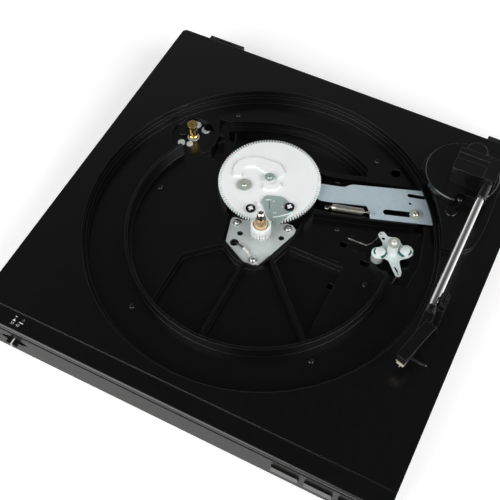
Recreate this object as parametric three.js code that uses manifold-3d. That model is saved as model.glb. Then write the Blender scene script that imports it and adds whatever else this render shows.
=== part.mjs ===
// A belt-drive automatic turntable with its platter lifted off.
// Millimetres, +Z up, tonearm on +X, front on -Y. Plan places are measured from the spindle axis,
// heights from the deck's top face; the whole machine is then set on its feet at the origin.
import * as THREE from 'three';
import { mergeVertices } from 'three/addons/utils/BufferGeometryUtils.js';
import Module from 'manifold-3d';

const wasm = await Module();
wasm.setup();

// Fits
const fit = 0.3;
const cutPast = 1;

// Steps of round forms
const wellSides = 52;
const baseSides = 40;
const roundSides = 18;
const footSides = 14;
const smallSides = 10;
const screwSides = 8;
const wireSides = 5;
const cornerSteps = 4;
const fewSteps = 2;
const noseSteps = 6;
const arcSteps = 10;
const ribArcSteps = 8;
const wireSteps = 10;
const clickSteps = 52;
const curveSamples = 6;

// Angles in degrees
const fullTurnDegrees = 360;
const quarterTurnDegrees = fullTurnDegrees / 4;

// Deck
const wellRadius = 149;
const ledgeWidth = 2.9;
const marginLeft = 22.7;
const marginRight = 39.3;
const marginBack = 26.5;
const marginFront = 29;
const skirtHeight = 36.5;
const wall = 2.5;
const deckCornerRadius = 4;
const frontRound = 3;
const frontLip = 4;
const seamToFront = 16.3;
const seamWidth = 0.8;
const seamDepth = 0.5;
const bossInset = 14;
const bossRadius = 4;

// Well under the platter
const rimDepth = 6;
const wellDepth = 13.5;
const stepDown = 7.5;
const platterLand = 33;
const ringBaseThickness = 4;
const ringTopThickness = 2.5;
const ringHeight = 12;
const ringToPocket = 1;
const ribHalf = 0.5;
const ringOpeningDegrees = [1.5, 155];
const roundOpeningRadius = 15;
const leftPocketDegrees = [242.5, 269];
const middlePocketDegrees = [-89.6, -45.5];
const regionStartDegrees = -44.4;
const podDegrees = [-8, 192];
const sharpCornerShare = 0.5;
const darkHoleRadius = 4.5;

// Screws and washers
const headRadius = 3;
const headHeight = 1.8;
const shankRadius = 1.4;
const shankLength = 6;
const crossWidth = 0.8;
const crossDepth = 0.9;
const washerRadius = 5.4;
const washerThickness = 0.8;
const smallHeadRadius = 2;
const crossShare = 0.55;

// Cam gear and pinion
const toothModule = 0.8;
const gearToothCount = 112;
const pinionToothCount = 20;
const toothTrim = 0.1;
const gearBearingDegrees = 108;
const gearThickness = 3;
const gearUnderside = 9;
const gearRaised = 2;
const trackWall = 2.5;
const axleRadius = 2.6;
const capRadius = 4.35;
const capBore = 2.5;
const capThickness = 0.8;
const pinArm = 0.8;
const stopPinRadius = 1.5;
const trackShare = 0.7;
const pawlThickness = 1.2;
const pawlSlotHalf = 0.62;
const dedendumShare = 1.25;
const toothRootShare = 0.32;
const toothTipShare = 0.11;

// Spindle and its bearing
const spindleRadius = 3.5;
const spindleTop = 19;
const spindleCone = 3;
const bushTop = 10.5;
const bushStep = 2;
const pinionTop = 2;
const notchCount = 6;
const notchDepth = 2.5;
const notchRadius = 0.56;
const plateReach = 30;
const plateSeat = 18.5;
const plateThickness = 1.2;
const plateBigHoleRadius = 4;
const tagThickness = 0.6;
const groundWireRadius = 0.8;
const crimpRadius = 1.3;
const wireBendShare = 0.43;

// Motor
const pulleyRadius = 4.1;
const pulleyHeight = 13;
const motorRadius = 19;
const motorHoleRadius = 4.7;
const motorShaft = 1;
const motorChamfer = 1;
const motorRecessRadius = 20.5;
const motorRecessDepth = 16;
const motorEyeHeight = 0.8;

// Slide plate and its spring
const slideTurnDegrees = 19;
const slideLength = 112;
const slideTravel = 22;
const slideClearance = 1;
const slideSlotHalf = 1.5;
const slideTabWidth = 3.5;
const slideTabHeight = 2;
const curlCount = 18;
const curlSteps = 8;
const springWire = 0.35;
const springRadius = 2.4;
const springLead = 1.9;
const coilShare = 0.66;

// Cross lever
const leverSpan = 30;
const leverDiscRadius = 5.7;
const leverHoleRadius = 0.8;
const leverDiscThickness = 1.2;
const clickTurnCount = 3;
const clickPitch = 1.3;
const clickTensionShare = 0.3;

// Controls
const fasciaThickness = 3;
const fasciaGap = 1.2;
const selectorInset = 38;
const selectorDrop = 17.5;
const selectorHalf = 5;
const selectorEnd = 2;
const selectorGripRadius = 2.4;
const selectorProud = 4.7;
const selectorTravel = 4;
const almondHalf = 13;
const almondTall = 5;
const almondDepth = 1.6;
const buttonWidth = 22;
const buttonHeight = 9;
const buttonCorner = 1.5;
const buttonProud = 2;
const buttonDrop = 19;
const buttonPitch = 27;
const buttonInset = 26;

// Feet, tray and hinge sockets
const trayDrop = 2;
const trayRim = 3;
const ventCount = 7;
const ventPitch = 6;
const ventLength = 22;
const footHeight = 10;
const footRadius = 15;
const footFlange = 3;
const footStud = 3;
const footStudRise = 1;
const footSoleShare = 0.87;
const footNeckShare = 0.9;
const footInset = 34;
const hingeHalf = 18;
const hingeTall = 30;
const hingeReach = 5;
const hingeInsetLeft = 46;
const hingeInsetRight = 29;

// Tonearm
const podHeight = 5;
const armBaseRadius = 32.3;
const armBaseHeight = 6.5;
const armChamfer = 1;
const armShaftRadius = 3;
const armShaftLength = 7.5;
const armAxleRadius = 1.5;
const armAxleLength = 5;
const notchLeft = 3.6;
const notchRight = 14;
const notchBehind = 6.5;
const armBoxHeight = 20;
const armBoxLeft = 8;
const armBoxRight = 18.2;
const armBoxFront = 16;
const armBoxBack = 8.6;
const armBoxCorner = 1.2;
const armGroove = 0.8;
const grooveShares = [0.512, 0.764];
const armBlockWidth = 11.2;
const armSlack = 0.8;
const armBlockStep = 1;
const armHeel = 2;
const armHeelShare = 0.3;
const ribbedDepth = 15;
const ribCount = 7;
const ribStep = 1;
const ribbedInset = 2.2;
const ribbedRise = 1;
const ribbedHeightShare = 0.82;
const ribSideShare = 0.25;
const ribTaperShare = 0.22;
const ribThickShare = 0.55;
const ribLapShare = 0.02;
const tubeRadius = 3.5;
const tubeLength = 147.4;
const collarLength = 17;
const collarWall = 1;
const tubeSeat = 10;
const liftPinRadius = 1.6;
const liftPinHead = 2.4;
const adjustRadius = 5;
const adjustDepth = 1.5;
const adjustRise = 0.5;

// Headshell
const headshellLength = 38;
const shellTurnDegrees = 165;
const shellRise = 2.5;
const shellThickness = 2.6;
const shellStep = 1;
const sleeveLap = 2;
const shellAside = 4.6;
const shellBehind = 13;
const cartridgeTall = 12;
const cartridgeLong = 16;
const cartridgeHalfShares = [0.1, 0.08];
const cartridgeEndShares = [0.99, 0.97];
const stylusThickness = 1.4;
const stylusDrop = 2.6;
const stylusWire = 0.35;
const fingerRadius = 0.9;
const fingerLength = 12.5;

// Arm rest
const restToTubeEnd = 8.9;
const restGap = 1;
const restWidth = 5;
const restHalf = 12;
const restTaperShare = 0.7;
const shelfHalf = 3;
const clipAxleRadius = 0.9;
const clipAxleInset = 2;
const forkHalf = 2;
const forkWall = 2;
const forkRise = 1.5;
const forkStep = 1;
const clipRise = 1.6;
const clipHeight = 11;
const clipThickness = 2.4;

// Worked out
const left = -(wellRadius + marginLeft);
const right = wellRadius + marginRight;
const back = wellRadius + marginBack;
const front = -(wellRadius + marginFront);
const rimRadius = wellRadius + ledgeWidth;
const ringOuter = wellRadius - platterLand;
const pocketRadius = ringOuter - ringBaseThickness - ringToPocket;
const wellFloor = -wellDepth;
const pocketFloor = wellFloor - stepDown;
const deepFloor = pocketFloor - stepDown;
const skirtFoot = -skirtHeight;
const trayFoot = skirtFoot - trayDrop;
const ground = trayFoot - footHeight;
const gearPitch = toothModule * gearToothCount / 2;
const pinionPitch = toothModule * pinionToothCount / 2;
const pinionRoot = toothModule * (pinionToothCount / 2 - 1.25);
const gearCentre = atBearing(gearPitch + pinionPitch, gearBearingDegrees);
const gearLow = -gearUnderside;
const gearTop = gearLow + gearThickness;
const pinionLow = gearLow - gearRaised;
const sideScrewSeat = gearTop + fit + washerThickness;
const plateTop = -plateSeat + fit + plateThickness;
const slideTop = gearLow - gearRaised - slideClearance;
const slideLow = slideTop - plateThickness;
const leverTop = slideTop;
const leverLow = slideLow;
const motorTop = -motorRecessDepth - wall - fit;

// The bush and the pinion's cup share the room between the spindle and the teeth
const [cupShare, bushFootShare, bushStemShare, bushHeadShare] = [0.886, 0.714, 0.43, 0.257];
const [cupRadius, bushFoot, bushStem, bushHead] = [cupShare, bushFootShare, bushStemShare, bushHeadShare]
  .map((share) => spindleRadius + (pinionRoot - spindleRadius) * share);

// Places in the well, as shares of its radius
const [slidePost, leverPost, armPivot, darkHole] = atShares(wellRadius, [
  [0.752, 0.517], [0.718, 0.28], [0.905, 0.815], [0.536, 0.756],
]);
const floorScrews = atShares(wellRadius, [
  [-0.423, -0.742], [0.595, -0.601], [-0.527, 0.738], [0.399, 0.79], [-0.688, 0.029],
]);
const pocketScrews = atShares(wellRadius, [[0.664, -0.017], [0.371, 0.258], [0.234, 0.576]]);
const pocketSlotCentres = [[0.448, 0.179], [0.605, 0.113], [0.447, 0.05], [0.483, -0.084]];
const pocketSlotSizes = [[0.04, 0.034], [0.054, 0.034], [0.047, 0.008], [0.034, 0.034]];
const floorRibs = [
  atShares(wellRadius, [[-0.47, 0.604], [-0.436, 0.523]]),
  atShares(wellRadius, [[-0.537, 0.483], [-0.503, 0.51]]),
];

// Places on the bearing plate, as shares of its reach with their bearings
const plateScrews = [[0.797, 168.4], [0.833, 47.5], [0.897, -77.2]].map(onPlate);
const plateSmallHoles = [[0.6, -163.5], [0.6, 19.4]].map(onPlate);
const plateBigHole = onPlate([0.787, -139]);
const [crimpBack, crimpFront] = atShares(plateReach, [[-0.25, -0.6], [-0.08, -0.68]]);

// Places on and beside the cam gear, as shares of its pitch radius
const [leftCap, rightCap, sideScrew, stopPin, trackCentre, pawlSlotFrom, pawlSlotTo, motorAxis] = [
  [-0.013, -0.806], [0.643, -0.44], [-0.382, -0.339], [0.06, -0.62], [0.12, 0.05],
  [0.225, -0.465], [0.308, -0.634], [-1.968, 0.439],
].map(onGear);

// Places on the slide plate, as shares of its length
const slideTabShare = [-0.353, -0.02];
const [springPeg, springEnd, endSlotFrom, endSlotTo, smallHole] = onSlide(atShares(slideLength, [
  [-0.687, -0.018], [-0.353, -0.032], [-0.049, 0.182], [0.27, 0.182], [-0.045, 0.104],
]));

// Places on the cross lever, as shares of its span
const [discLeft, discRight, tipHole, midHole, lowHole, linkEnd] = onLever([
  [-0.303, -0.523], [0.387, -0.11], [-0.477, 0.12], [-0.34, 0.013], [0.45, -0.9], [0.4, -1.2],
]);
const [clickPost, roundOpening, regionCorner] = onLever([[-1.197, -0.283], [-0.035, -0.293], [0.8, -1.257]]);

// The motor's studs and one eye in its recess: place and radius as shares of the recess radius
const [motorBoss, ...motorStuds] = [
  [-0.617, 0.133, 0.22], [-0.178, 0.694, 0.18], [0.31, 0.6, 0.2], [-0.339, -0.52, 0.166],
  [0.034, -0.43, 0.146],
].map(([x, y, radius]) => ({ centre: onMotor([x, y]), radius: motorRecessRadius * radius }));

// Tonearm places
const [pivotX, pivotY] = armPivot;
const armBaseLow = podHeight + fit;
const armBaseTop = podHeight + armBaseHeight;
const armBoxLow = armBaseTop + fit;
const armBoxTop = armBoxLow + armBoxHeight;
const boxLeft = pivotX - armBoxLeft;
const boxRight = pivotX + armBoxRight;
const boxFront = pivotY - armBoxFront;
const boxBack = pivotY + armBoxBack;
const armRight = boxRight + armBlockWidth;
const tubeX = (boxRight + armRight - fit * 2) / 2;
const tubeHeight = armBoxLow + armBoxHeight * 0.7;
const tubeStart = boxFront - collarLength;
const tubeEnd = pivotY - tubeLength;
const liftAxisZ = armBoxLow + armBoxHeight * 0.55;
const [liftPinPlace, adjustPlace] = moved(
  atShares(armBaseRadius, [[0.231, -0.9], [0.143, -1.222]]),
  armPivot,
);
const shellPlace = [tubeX + shellAside, tubeEnd - shellBehind];
const shellTop = tubeHeight + shellRise;
const cartridgeTop = shellTop - shellThickness - fit;
const cartridgeLow = cartridgeTop - cartridgeTall;
const restX = tubeX + tubeRadius + restGap;
const restY = tubeEnd + restToTubeEnd;
const clipX = restX + clipAxleInset;
const clipZ = tubeHeight + tubeRadius + clipRise;

// Places on the skirt and the tray
const selectorPlace = [left + selectorInset, -selectorDrop];
const buttonZ = -buttonDrop;
const buttonNames = ['start_button', 'stop_button', 'lift_button'];
const buttonPlaces = buttonNames.map((name, i) =>
  right - buttonInset - buttonPitch * (buttonNames.length - 1 - i));
const bossPlaces = [left + bossInset, (left + right) / 2, right - bossInset]
  .flatMap((x) => [[x, front + fasciaThickness + bossInset], [x, back - bossInset]]);
const feetPlaces = {
  foot_front_left: [left + footInset, front + footInset],
  foot_front_right: [right - footInset, front + footInset],
  foot_back_left: [left + footInset, back - footInset],
  foot_back_right: [right - footInset, back - footInset],
};
const hingePlaces = { hinge_socket_left: left + hingeInsetLeft, hinge_socket_right: right - hingeInsetRight };

// Outlines, as shares of the size named beside each
const plateOutline = atShares(plateReach, [
  [-0.833, -0.597], [-1.04, 0.137], [-1.02, 0.24], [-0.913, 0.277], [-0.717, 0.287], [-0.483, 0.367],
  [-0.267, 0.567], [0, 0.617], [0.2, 0.583], [0.35, 0.653], [0.49, 0.733], [0.667, 0.743], [0.81, 0.647],
  [0.823, 0.5], [0.417, -0.76], [0.353, -0.887], [0.23, -0.957], [-0.06, -0.98], [-0.15, -0.953],
]);
const leftPocket = [
  ...atShares(wellRadius, [[-0.012, -0.221], [-0.054, -0.218], [-0.171, -0.158], [-0.342, -0.322]]),
  ...arc([0, 0], pocketRadius, ...leftPocketDegrees, arcSteps),
];
const middlePocket = [
  ...atShares(wellRadius, [[0.003, -0.221]]),
  ...arc([0, 0], pocketRadius, ...middlePocketDegrees, arcSteps),
  ...atShares(wellRadius, [[0.114, -0.13], [0.101, -0.164], [0.06, -0.211]]),
];
const rightRegion = [
  ...atShares(wellRadius, [[0.118, -0.098]]),
  ...arc([0, 0], pocketRadius, regionStartDegrees, bearingOfHeight(regionCorner[1], pocketRadius), arcSteps),
  regionCorner,
  ...atShares(wellRadius, [[0.893, 0.221], [0.846, 0.416], [0.819, 0.473], [0.503, 0.362],
    [0.201, 0.268], [0.181, 0.134], [0.161, 0.054]]),
];
const deepPocket = atShares(wellRadius, [[0.126, -0.09], [0.507, -0.47], [0.507, 0.031], [0.161, 0.031]]);
const rearLedge = atShares(wellRadius, [
  [-0.416, 0.51], [0.168, 0.581], [0.389, 0.651], [0.376, 0.718], [0.295, 0.758], [0.215, 0.789],
  [0.141, 0.812], [0.067, 0.824], [0, 0.835], [-0.074, 0.832], [-0.201, 0.811], [-0.322, 0.772],
  [-0.436, 0.725], [-0.55, 0.671], [-0.617, 0.658], [-0.57, 0.564],
]);
const rearPocket = atShares(wellRadius, [
  [-0.403, 0.53], [0.168, 0.604], [0.356, 0.66], [0.342, 0.698], [0.295, 0.725], [0.215, 0.757],
  [0.141, 0.781], [0.067, 0.795], [0, 0.803], [-0.074, 0.8], [-0.201, 0.78], [-0.322, 0.742],
  [-0.436, 0.695], [-0.537, 0.631], [-0.51, 0.577],
]);
const gearPocket = [
  [-1.109, 0.083], [-0.441, -0.988], [-0.371, -0.988], [-0.238, -0.851], [0.677, -0.542], [0.943, -0.675],
  [1.063, -0.25], [0.943, 0.722], [-1.019, 0.755], [-1.498, 0.675], [-1.465, 0.263], [-1.598, 0.083],
].map(onGear);
const slideChannel = onSlide(atShares(slideLength, [
  [-0.808, -0.043], [-0.371, -0.061], [0.074, -0.059], [0.329, -0.057], [0.289, 0.263], [-0.023, 0.263],
  [-0.72, 0.294], [-0.997, 0.315], [-1.087, 0.138],
]));
const slideOutline = atShares(slideLength, [
  [-0.755, 0.204], [-0.804, 0.179], [-0.804, 0.071], [-0.741, 0.046], [-0.646, 0.039], [-0.383, 0.04],
  [-0.353, -0.023], [-0.348, -0.073], [0.149, -0.075], [0.268, -0.071], [0.357, -0.018], [0.357, 0.179],
  [0.214, 0.227], [0.039, 0.235], [-0.503, 0.229], [-0.526, 0.221], [-0.563, 0.198], [-0.596, 0.196],
]);
const leverOutline = onLever([
  [-0.517, 0.18], [-0.543, 0.07], [-0.34, -0.107], [-0.28, -0.213], [-0.347, -0.313], [-0.473, -0.407],
  [-0.48, -0.567], [-0.373, -0.673], [-0.213, -0.663], [-0.083, -0.587], [0.05, -0.607], [0.333, -0.903],
  [0.407, -0.977], [0.497, -0.983], [0.54, -0.913], [0.52, -0.81], [0.353, -0.55], [0.33, -0.447],
  [0.393, -0.38], [0.513, -0.28], [0.587, -0.153], [0.567, -0.053], [0.433, 0.007], [0.247, 0.03],
  [0.153, 0.077], [0.04, 0.153], [-0.097, 0.167], [-0.167, 0.153], [-0.267, 0.127], [-0.427, 0.223],
]);
const pawlOutline = [
  [0.089, -0.518], [0.212, -0.681], [0.375, -0.835], [0.529, -0.888], [0.585, -0.906], [0.629, -0.875],
  [0.705, -0.591], [0.741, -0.473], [0.705, -0.435], [0.585, -0.337], [0.496, -0.299], [0.404, -0.277],
  [0.257, -0.326], [0.112, -0.388],
].map(onGear);
const crescent = [
  [-0.534, -0.172], [-0.681, -0.245], [-0.762, -0.055], [-0.753, 0.112], [-0.644, 0.262], [-0.475, 0.369],
  [-0.342, 0.398], [-0.161, 0.407], [0.014, 0.427], [0.192, 0.285], [0.184, 0.187], [0.146, 0.08],
  [-0.02, 0.13], [-0.228, 0.124], [-0.41, 0.168], [-0.565, 0.068], [-0.585, -0.037],
].map(onGear);
const lobe = [
  [-0.04, -0.123], [-0.025, -0.251], [0.087, -0.249], [0.222, -0.168], [0.262, -0.026], [0.206, 0],
  [0.09, -0.11],
].map(onGear);
const podOutline = [
  ...moved(atShares(armBaseRadius, [[0.378, -2.399], [0.595, -2.353], [0.812, -2.247], [0.996, -2.08],
    [1.075, -1.841], [1.112, -1.282], [1.103, -0.664], [1.075, -0.323]]), armPivot),
  ...arc(armPivot, armBaseRadius + wall, ...podDegrees, roundSides),
  ...atShares(rimRadius, [[0.55, 0.72], [0.8, 0.45], [0.94, 0.288]]),
];
const neckOutline = moved(atShares(headshellLength, [
  [-0.095, 0.035], [0.095, 0.035], [0.11, -0.237], [0.079, -0.421], [-0.095, -0.579], [-0.1, -0.211],
]), [tubeX, tubeEnd]);
const shellShares = [
  [0.126, 0], [-0.126, 0], [-0.118, 0.96], [-0.09, 1], [0.09, 1], [0.118, 0.96], [0.126, 0.4],
];
const shellSkirtShares = [[0.126, 0.02], [0.08, 0.02], [0.08, 0.5], [0.12, 0.5]];
const stylusArmShares = [[0, 0.72], [0, 0.96]];
const stylusHolderShares = [[0.05, 0.68], [-0.05, 0.68], [-0.035, 0.88], [0.035, 0.88]];
const fingerRootShare = [-0.128, 0.88];
const fingerShares = [[0, 0, 0], [0.32, 0, -0.016], [0.72, -0.048, -0.032], [1, -0.096, 0.128]];

// Profiles and wire ways, as shares of the sizes named where they're used
const headShares = [[0, 0], [1, 0], [0.95, 0.5], [0.6, 1], [0, 1]];
const discShares = [[0, 0], [1, 0], [1, 0.67], [0.92, 1], [0, 1]];
const pulleyShares = [
  [0, 0], [1.3, 0], [1.3, 0.092], [0.9, 0.092], [0.9, 0.231], [0.97, 0.346], [1, 0.462], [0.97, 0.577],
  [0.9, 0.692], [1.25, 0.723], [1.25, 0.8], [0.94, 0.831], [0.94, 0.969], [0.85, 1], [0, 1],
];
const spindleTipShares = [[1, 1], [0.9, 0.467], [0.55, 0.1], [0, 0]];
const clickArmShares = [[0.66, -0.025, 0], [0.708, -0.017, 0.6], [0.73, -0.012, 0.75]];

const machine = new THREE.Group();
machine.position.set(-(left + right) / 2, -(front - selectorProud + back + hingeReach) / 2, -ground);

// Finishes: colour, roughness, metalness
const blackPlastic = ['#141415', 0.5, 0];
const darkPlastic = ['#1c1c1e', 0.6, 0];
const fasciaPlastic = ['#2b2b2d', 0.42, 0];
const whitePlastic = ['#eceeed', 0.45, 0];
const zinc = ['#a8b8bc', 0.38, 0.9];
const dullZinc = ['#92a09c', 0.45, 0.9];
const steel = ['#c4c6c8', 0.25, 1];
const chrome = ['#e6e6e6', 0.08, 1];
const brass = ['#c79a3c', 0.3, 1];
const rubber = ['#18181a', 0.85, 0];
const beige = ['#c9c2ad', 0.55, 0];

function radians(degrees) {
  return degrees * Math.PI / (fullTurnDegrees / 2);
}

function atBearing(distance, bearing) {
  return [distance * Math.cos(radians(bearing)), distance * Math.sin(radians(bearing))];
}

function bearingOf([x0, y0], [x1, y1]) {
  return Math.atan2(y1 - y0, x1 - x0) / Math.PI * fullTurnDegrees / 2;
}

// The bearing where a circle about the origin reaches a height on the plan
function bearingOfHeight(y, radius) {
  return Math.asin(y / radius) / Math.PI * fullTurnDegrees / 2;
}

function atShares(size, shares) {
  return shares.map(([x, y]) => [x * size, y * size]);
}

function between([x0, y0], [x1, y1], share) {
  return [x0 + (x1 - x0) * share, y0 + (y1 - y0) * share];
}

function moved(points, [x, y]) {
  return points.map(([u, v]) => [x + u, y + v]);
}

// Turns points about the origin, then moves them
function placed(points, degrees, place) {
  const c = Math.cos(radians(degrees));
  const s = Math.sin(radians(degrees));
  return moved(points.map(([u, v]) => [u * c - v * s, u * s + v * c]), place);
}

function onPlate([share, bearing]) {
  return atBearing(plateReach * share, bearing);
}

function onGear(share) {
  return moved(atShares(gearPitch, [share]), gearCentre)[0];
}

function onSlide(points) {
  return placed(points, slideTurnDegrees, slidePost);
}

function onLever(shares) {
  return moved(atShares(leverSpan, shares), leverPost);
}

function onMotor(share) {
  return moved(atShares(motorRecessRadius, [share]), motorAxis)[0];
}

function onShell(shares) {
  return placed(atShares(headshellLength, shares), shellTurnDegrees, shellPlace);
}

// Outlines
function arc([x, y], radius, from, to, steps) {
  const points = [];
  for (let i = 0; i <= steps; i++) {
    const [dx, dy] = atBearing(radius, from + (to - from) * i / steps);
    points.push([x + dx, y + dy]);
  }
  return points;
}

function circle(centre, radius, sides) {
  return arc(centre, radius, 0, fullTurnDegrees - fullTurnDegrees / sides, sides - 1);
}

function rounded(x0, x1, y0, y1, radius, steps = cornerSteps) {
  const [u0, u1, v0, v1] = [x0 + radius, x1 - radius, y0 + radius, y1 - radius];
  const corners = [[u1, v1], [u0, v1], [u0, v0], [u1, v0]];
  const quarter = quarterTurnDegrees;
  return corners.flatMap((centre, i) => arc(centre, radius, i * quarter, (i + 1) * quarter, steps));
}

// A long hole's outline between two centres
function slotOutline(from, to, radius, steps = cornerSteps) {
  const turn = bearingOf(from, to);
  return [
    ...arc(to, radius, turn - quarterTurnDegrees, turn + quarterTurnDegrees, steps),
    ...arc(from, radius, turn + quarterTurnDegrees, turn + fullTurnDegrees - quarterTurnDegrees, steps),
  ];
}

// Moves every side of an outline outward by the same distance
function grown(outline, distance) {
  const area = THREE.ShapeUtils.area(outline.map(([x, y]) => ({ x, y })));
  const points = area > 0 ? outline : [...outline].reverse();
  return points.map(([x, y], i) => {
    const before = points[(i + points.length - 1) % points.length];
    const after = points[(i + 1) % points.length];
    const a = new THREE.Vector2(y - before[1], before[0] - x).normalize();
    const b = new THREE.Vector2(after[1] - y, x - after[0]).normalize();
    const middle = a.clone().add(b).normalize();
    const reach = distance / Math.max(middle.dot(a), sharpCornerShare);
    return [x + middle.x * reach, y + middle.y * reach];
  });
}

// Solids
function solid(geometry) {
  const bare = geometry.index ? geometry.toNonIndexed() : geometry.clone();
  bare.deleteAttribute('normal');
  bare.deleteAttribute('uv');
  const merged = mergeVertices(bare);
  return new wasm.Manifold(new wasm.Mesh({
    numProp: 3,
    vertProperties: new Float32Array(merged.attributes.position.array),
    triVerts: new Uint32Array(merged.index.array),
  }));
}

function shapeOf(outline) {
  return new THREE.Shape(outline.map(([x, y]) => new THREE.Vector2(x, y)));
}

function prism(outline, low, high) {
  const geometry = new THREE.ExtrudeGeometry(shapeOf(outline), { depth: high - low, bevelEnabled: false });
  return solid(geometry.translate(0, 0, low));
}

function disc(radius, low, high, centre = [0, 0], sides = roundSides) {
  return prism(circle(centre, radius, sides), low, high);
}

function block(x0, x1, y0, y1, z0, z1) {
  return prism([[x0, y0], [x1, y0], [x1, y1], [x0, y1]], z0, z1);
}

// A solid of revolution from [radius, height] points
function turned(profile, [x, y] = [0, 0], sides = roundSides) {
  const geometry = new THREE.LatheGeometry(profile.map(([r, z]) => new THREE.Vector2(r, z)), sides);
  geometry.rotateX(radians(quarterTurnDegrees));
  return solid(geometry.translate(x, y, 0));
}

// A prism whose outline is drawn in the plane across X, from x0 to x1
function across(outline, x0, x1) {
  const geometry = new THREE.ExtrudeGeometry(shapeOf(outline), { depth: x1 - x0, bevelEnabled: false });
  geometry.rotateX(radians(quarterTurnDegrees));
  geometry.rotateZ(radians(quarterTurnDegrees));
  return solid(geometry.translate(x0, 0, 0));
}

// A prism whose outline is drawn in the plane across Y, from y0 to y1
function along(outline, y0, y1) {
  const geometry = new THREE.ExtrudeGeometry(shapeOf(outline), { depth: y1 - y0, bevelEnabled: false });
  geometry.rotateX(radians(quarterTurnDegrees));
  return solid(geometry.translate(0, y1, 0));
}

function rod(curve, radius, steps, sides = screwSides) {
  const section = shapeOf(circle([0, 0], radius, sides));
  curve.arcLengthDivisions = steps * curveSamples;
  return solid(new THREE.ExtrudeGeometry(section, { steps, bevelEnabled: false, extrudePath: curve }));
}

function bar(from, to, radius, sides = smallSides) {
  return rod(new THREE.LineCurve3(new THREE.Vector3(...from), new THREE.Vector3(...to)), radius, 1, sides);
}

function joined(solids) {
  return solids.reduce((whole, piece) => whole.add(piece));
}

function cut(whole, ...tools) {
  return tools.reduce((rest, tool) => rest.subtract(tool), whole);
}

function addPart(name, form, [colour, roughness, metalness]) {
  const mesh = form.getMesh();
  const geometry = new THREE.BufferGeometry();
  geometry.setAttribute('position', new THREE.BufferAttribute(new Float32Array(mesh.vertProperties), 3));
  geometry.setIndex(new THREE.BufferAttribute(new Uint32Array(mesh.triVerts), 1));
  geometry.computeVertexNormals();
  const material = new THREE.MeshStandardMaterial({ color: colour, roughness, metalness });
  const part = new THREE.Mesh(geometry, material);
  part.name = name;
  machine.add(part);
}

// Fasteners
function crossAt([x, y], arm, halfWidth, low, high) {
  return block(x - arm, x + arm, y - halfWidth, y + halfWidth, low, high)
    .add(block(x - halfWidth, x + halfWidth, y - arm, y + arm, low, high));
}

// A pan-head screw with a crossed recess, its head resting on a face
function screw(place, face, radius = headRadius, length = shankLength) {
  const seat = face + fit;
  const top = seat + headHeight;
  const profile = headShares.map(([wide, up]) => [radius * wide, seat + headHeight * up]);
  const shank = disc(shankRadius, seat - length, seat + headHeight / 2, place, screwSides);
  const recess = crossAt(place, radius * crossShare, crossWidth / 2, top - crossDepth, top + cutPast);
  return turned(profile, place, screwSides).add(shank).subtract(recess);
}

function screwHole(place, low, high) {
  return disc(shankRadius + fit, low, high, place, screwSides);
}

function washer(centre, low) {
  return disc(washerRadius, low, low + washerThickness, centre)
    .subtract(disc(shankRadius + fit, low - cutPast, low + wall, centre, smallSides));
}

// Deck
function deckShell() {
  const outer = prism(rounded(left, right, front, back, deckCornerRadius), skirtFoot, 0);
  const inner = prism(
    rounded(left + wall, right - wall, front + fasciaThickness + wall, back - wall, deckCornerRadius - wall),
    skirtFoot - cutPast,
    -wall,
  );
  const bosses = bossPlaces.map((place) => disc(bossRadius, skirtFoot + fit, -wall / 2, place, smallSides));
  return joined([outer.subtract(inner), ...bosses]);
}

// What the front edge loses: the fascia's seat, the rounded nose, the seam and the switch bays
function frontCuts() {
  const [x0, x1] = [left - cutPast, right + cutPast];
  const quarter = quarterTurnDegrees;
  const noseArc = arc([front + frontRound, -frontRound], frontRound, quarter * 2, quarter, noseSteps);
  const corner = [[front - cutPast, cutPast], [front - cutPast, -frontRound]];
  const seamY = front + seamToFront;
  return [
    block(x0, x1, front - cutPast, front + fasciaThickness, skirtFoot - cutPast, -frontLip),
    across([...corner, ...noseArc, [front + frontRound, cutPast]], x0, x1),
    block(x0, x1, seamY, seamY + seamWidth, -seamDepth, cutPast),
    ...buttonPlaces.map((x) => buttonWindow(x, front, front + fasciaThickness + wall * 2)),
  ];
}

// A ring rib round the pockets, open where the slide passes
function ringRib() {
  const outline = [
    [ringOuter, wellFloor - wall / 2],
    [ringOuter, wellFloor + ringHeight],
    [ringOuter - ringTopThickness, wellFloor + ringHeight],
    [ringOuter - ringBaseThickness, wellFloor],
    [ringOuter - ringBaseThickness, wellFloor - wall / 2],
  ];
  const wedge = [[0, 0], ...arc([0, 0], ringOuter * 2, ...ringOpeningDegrees, noseSteps)];
  const opening = prism(wedge, pocketFloor, cutPast);
  return turned([...outline, outline[0]], [0, 0], wellSides).subtract(opening);
}

// Raised pod round the tonearm base, cut back at the well's rim
function armPod() {
  const rim = disc(rimRadius, -cutPast, podHeight + cutPast, [0, 0], wellSides);
  return prism(podOutline, -wall / 2, podHeight).subtract(rim);
}

function plateSeatForm() {
  const outside = prism(grown(plateOutline, wall / 2), deepFloor - wall, -plateSeat);
  const inside = prism(grown(plateOutline, -wall / 2), deepFloor - wall - cutPast, -plateSeat - wall);
  return outside.subtract(inside);
}

// A shouldered post that a moving plate turns or slides on
function post(centre, shoulder, top, radius) {
  return disc(radius, pocketFloor - wall, shoulder - fit, centre, smallSides)
    .add(disc(axleRadius, pocketFloor - wall, top, centre, smallSides));
}

function floorForms() {
  const ribs = floorRibs.map((ends) =>
    prism(slotOutline(...ends, ribHalf, 1), deepFloor - wall / 2, wellFloor));
  return [
    post(gearCentre, gearLow, gearTop - fit, axleRadius + wall),
    post(slidePost, slideLow, slideTop, washerRadius),
    post(leverPost, leverLow, leverTop, washerRadius),
    disc(shankRadius, pocketFloor - wall / 2, leverTop, clickPost, smallSides),
    disc(shankRadius, pocketFloor - wall / 2, slideTop + wall, springPeg, smallSides),
    ...ribs,
  ];
}

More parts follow.
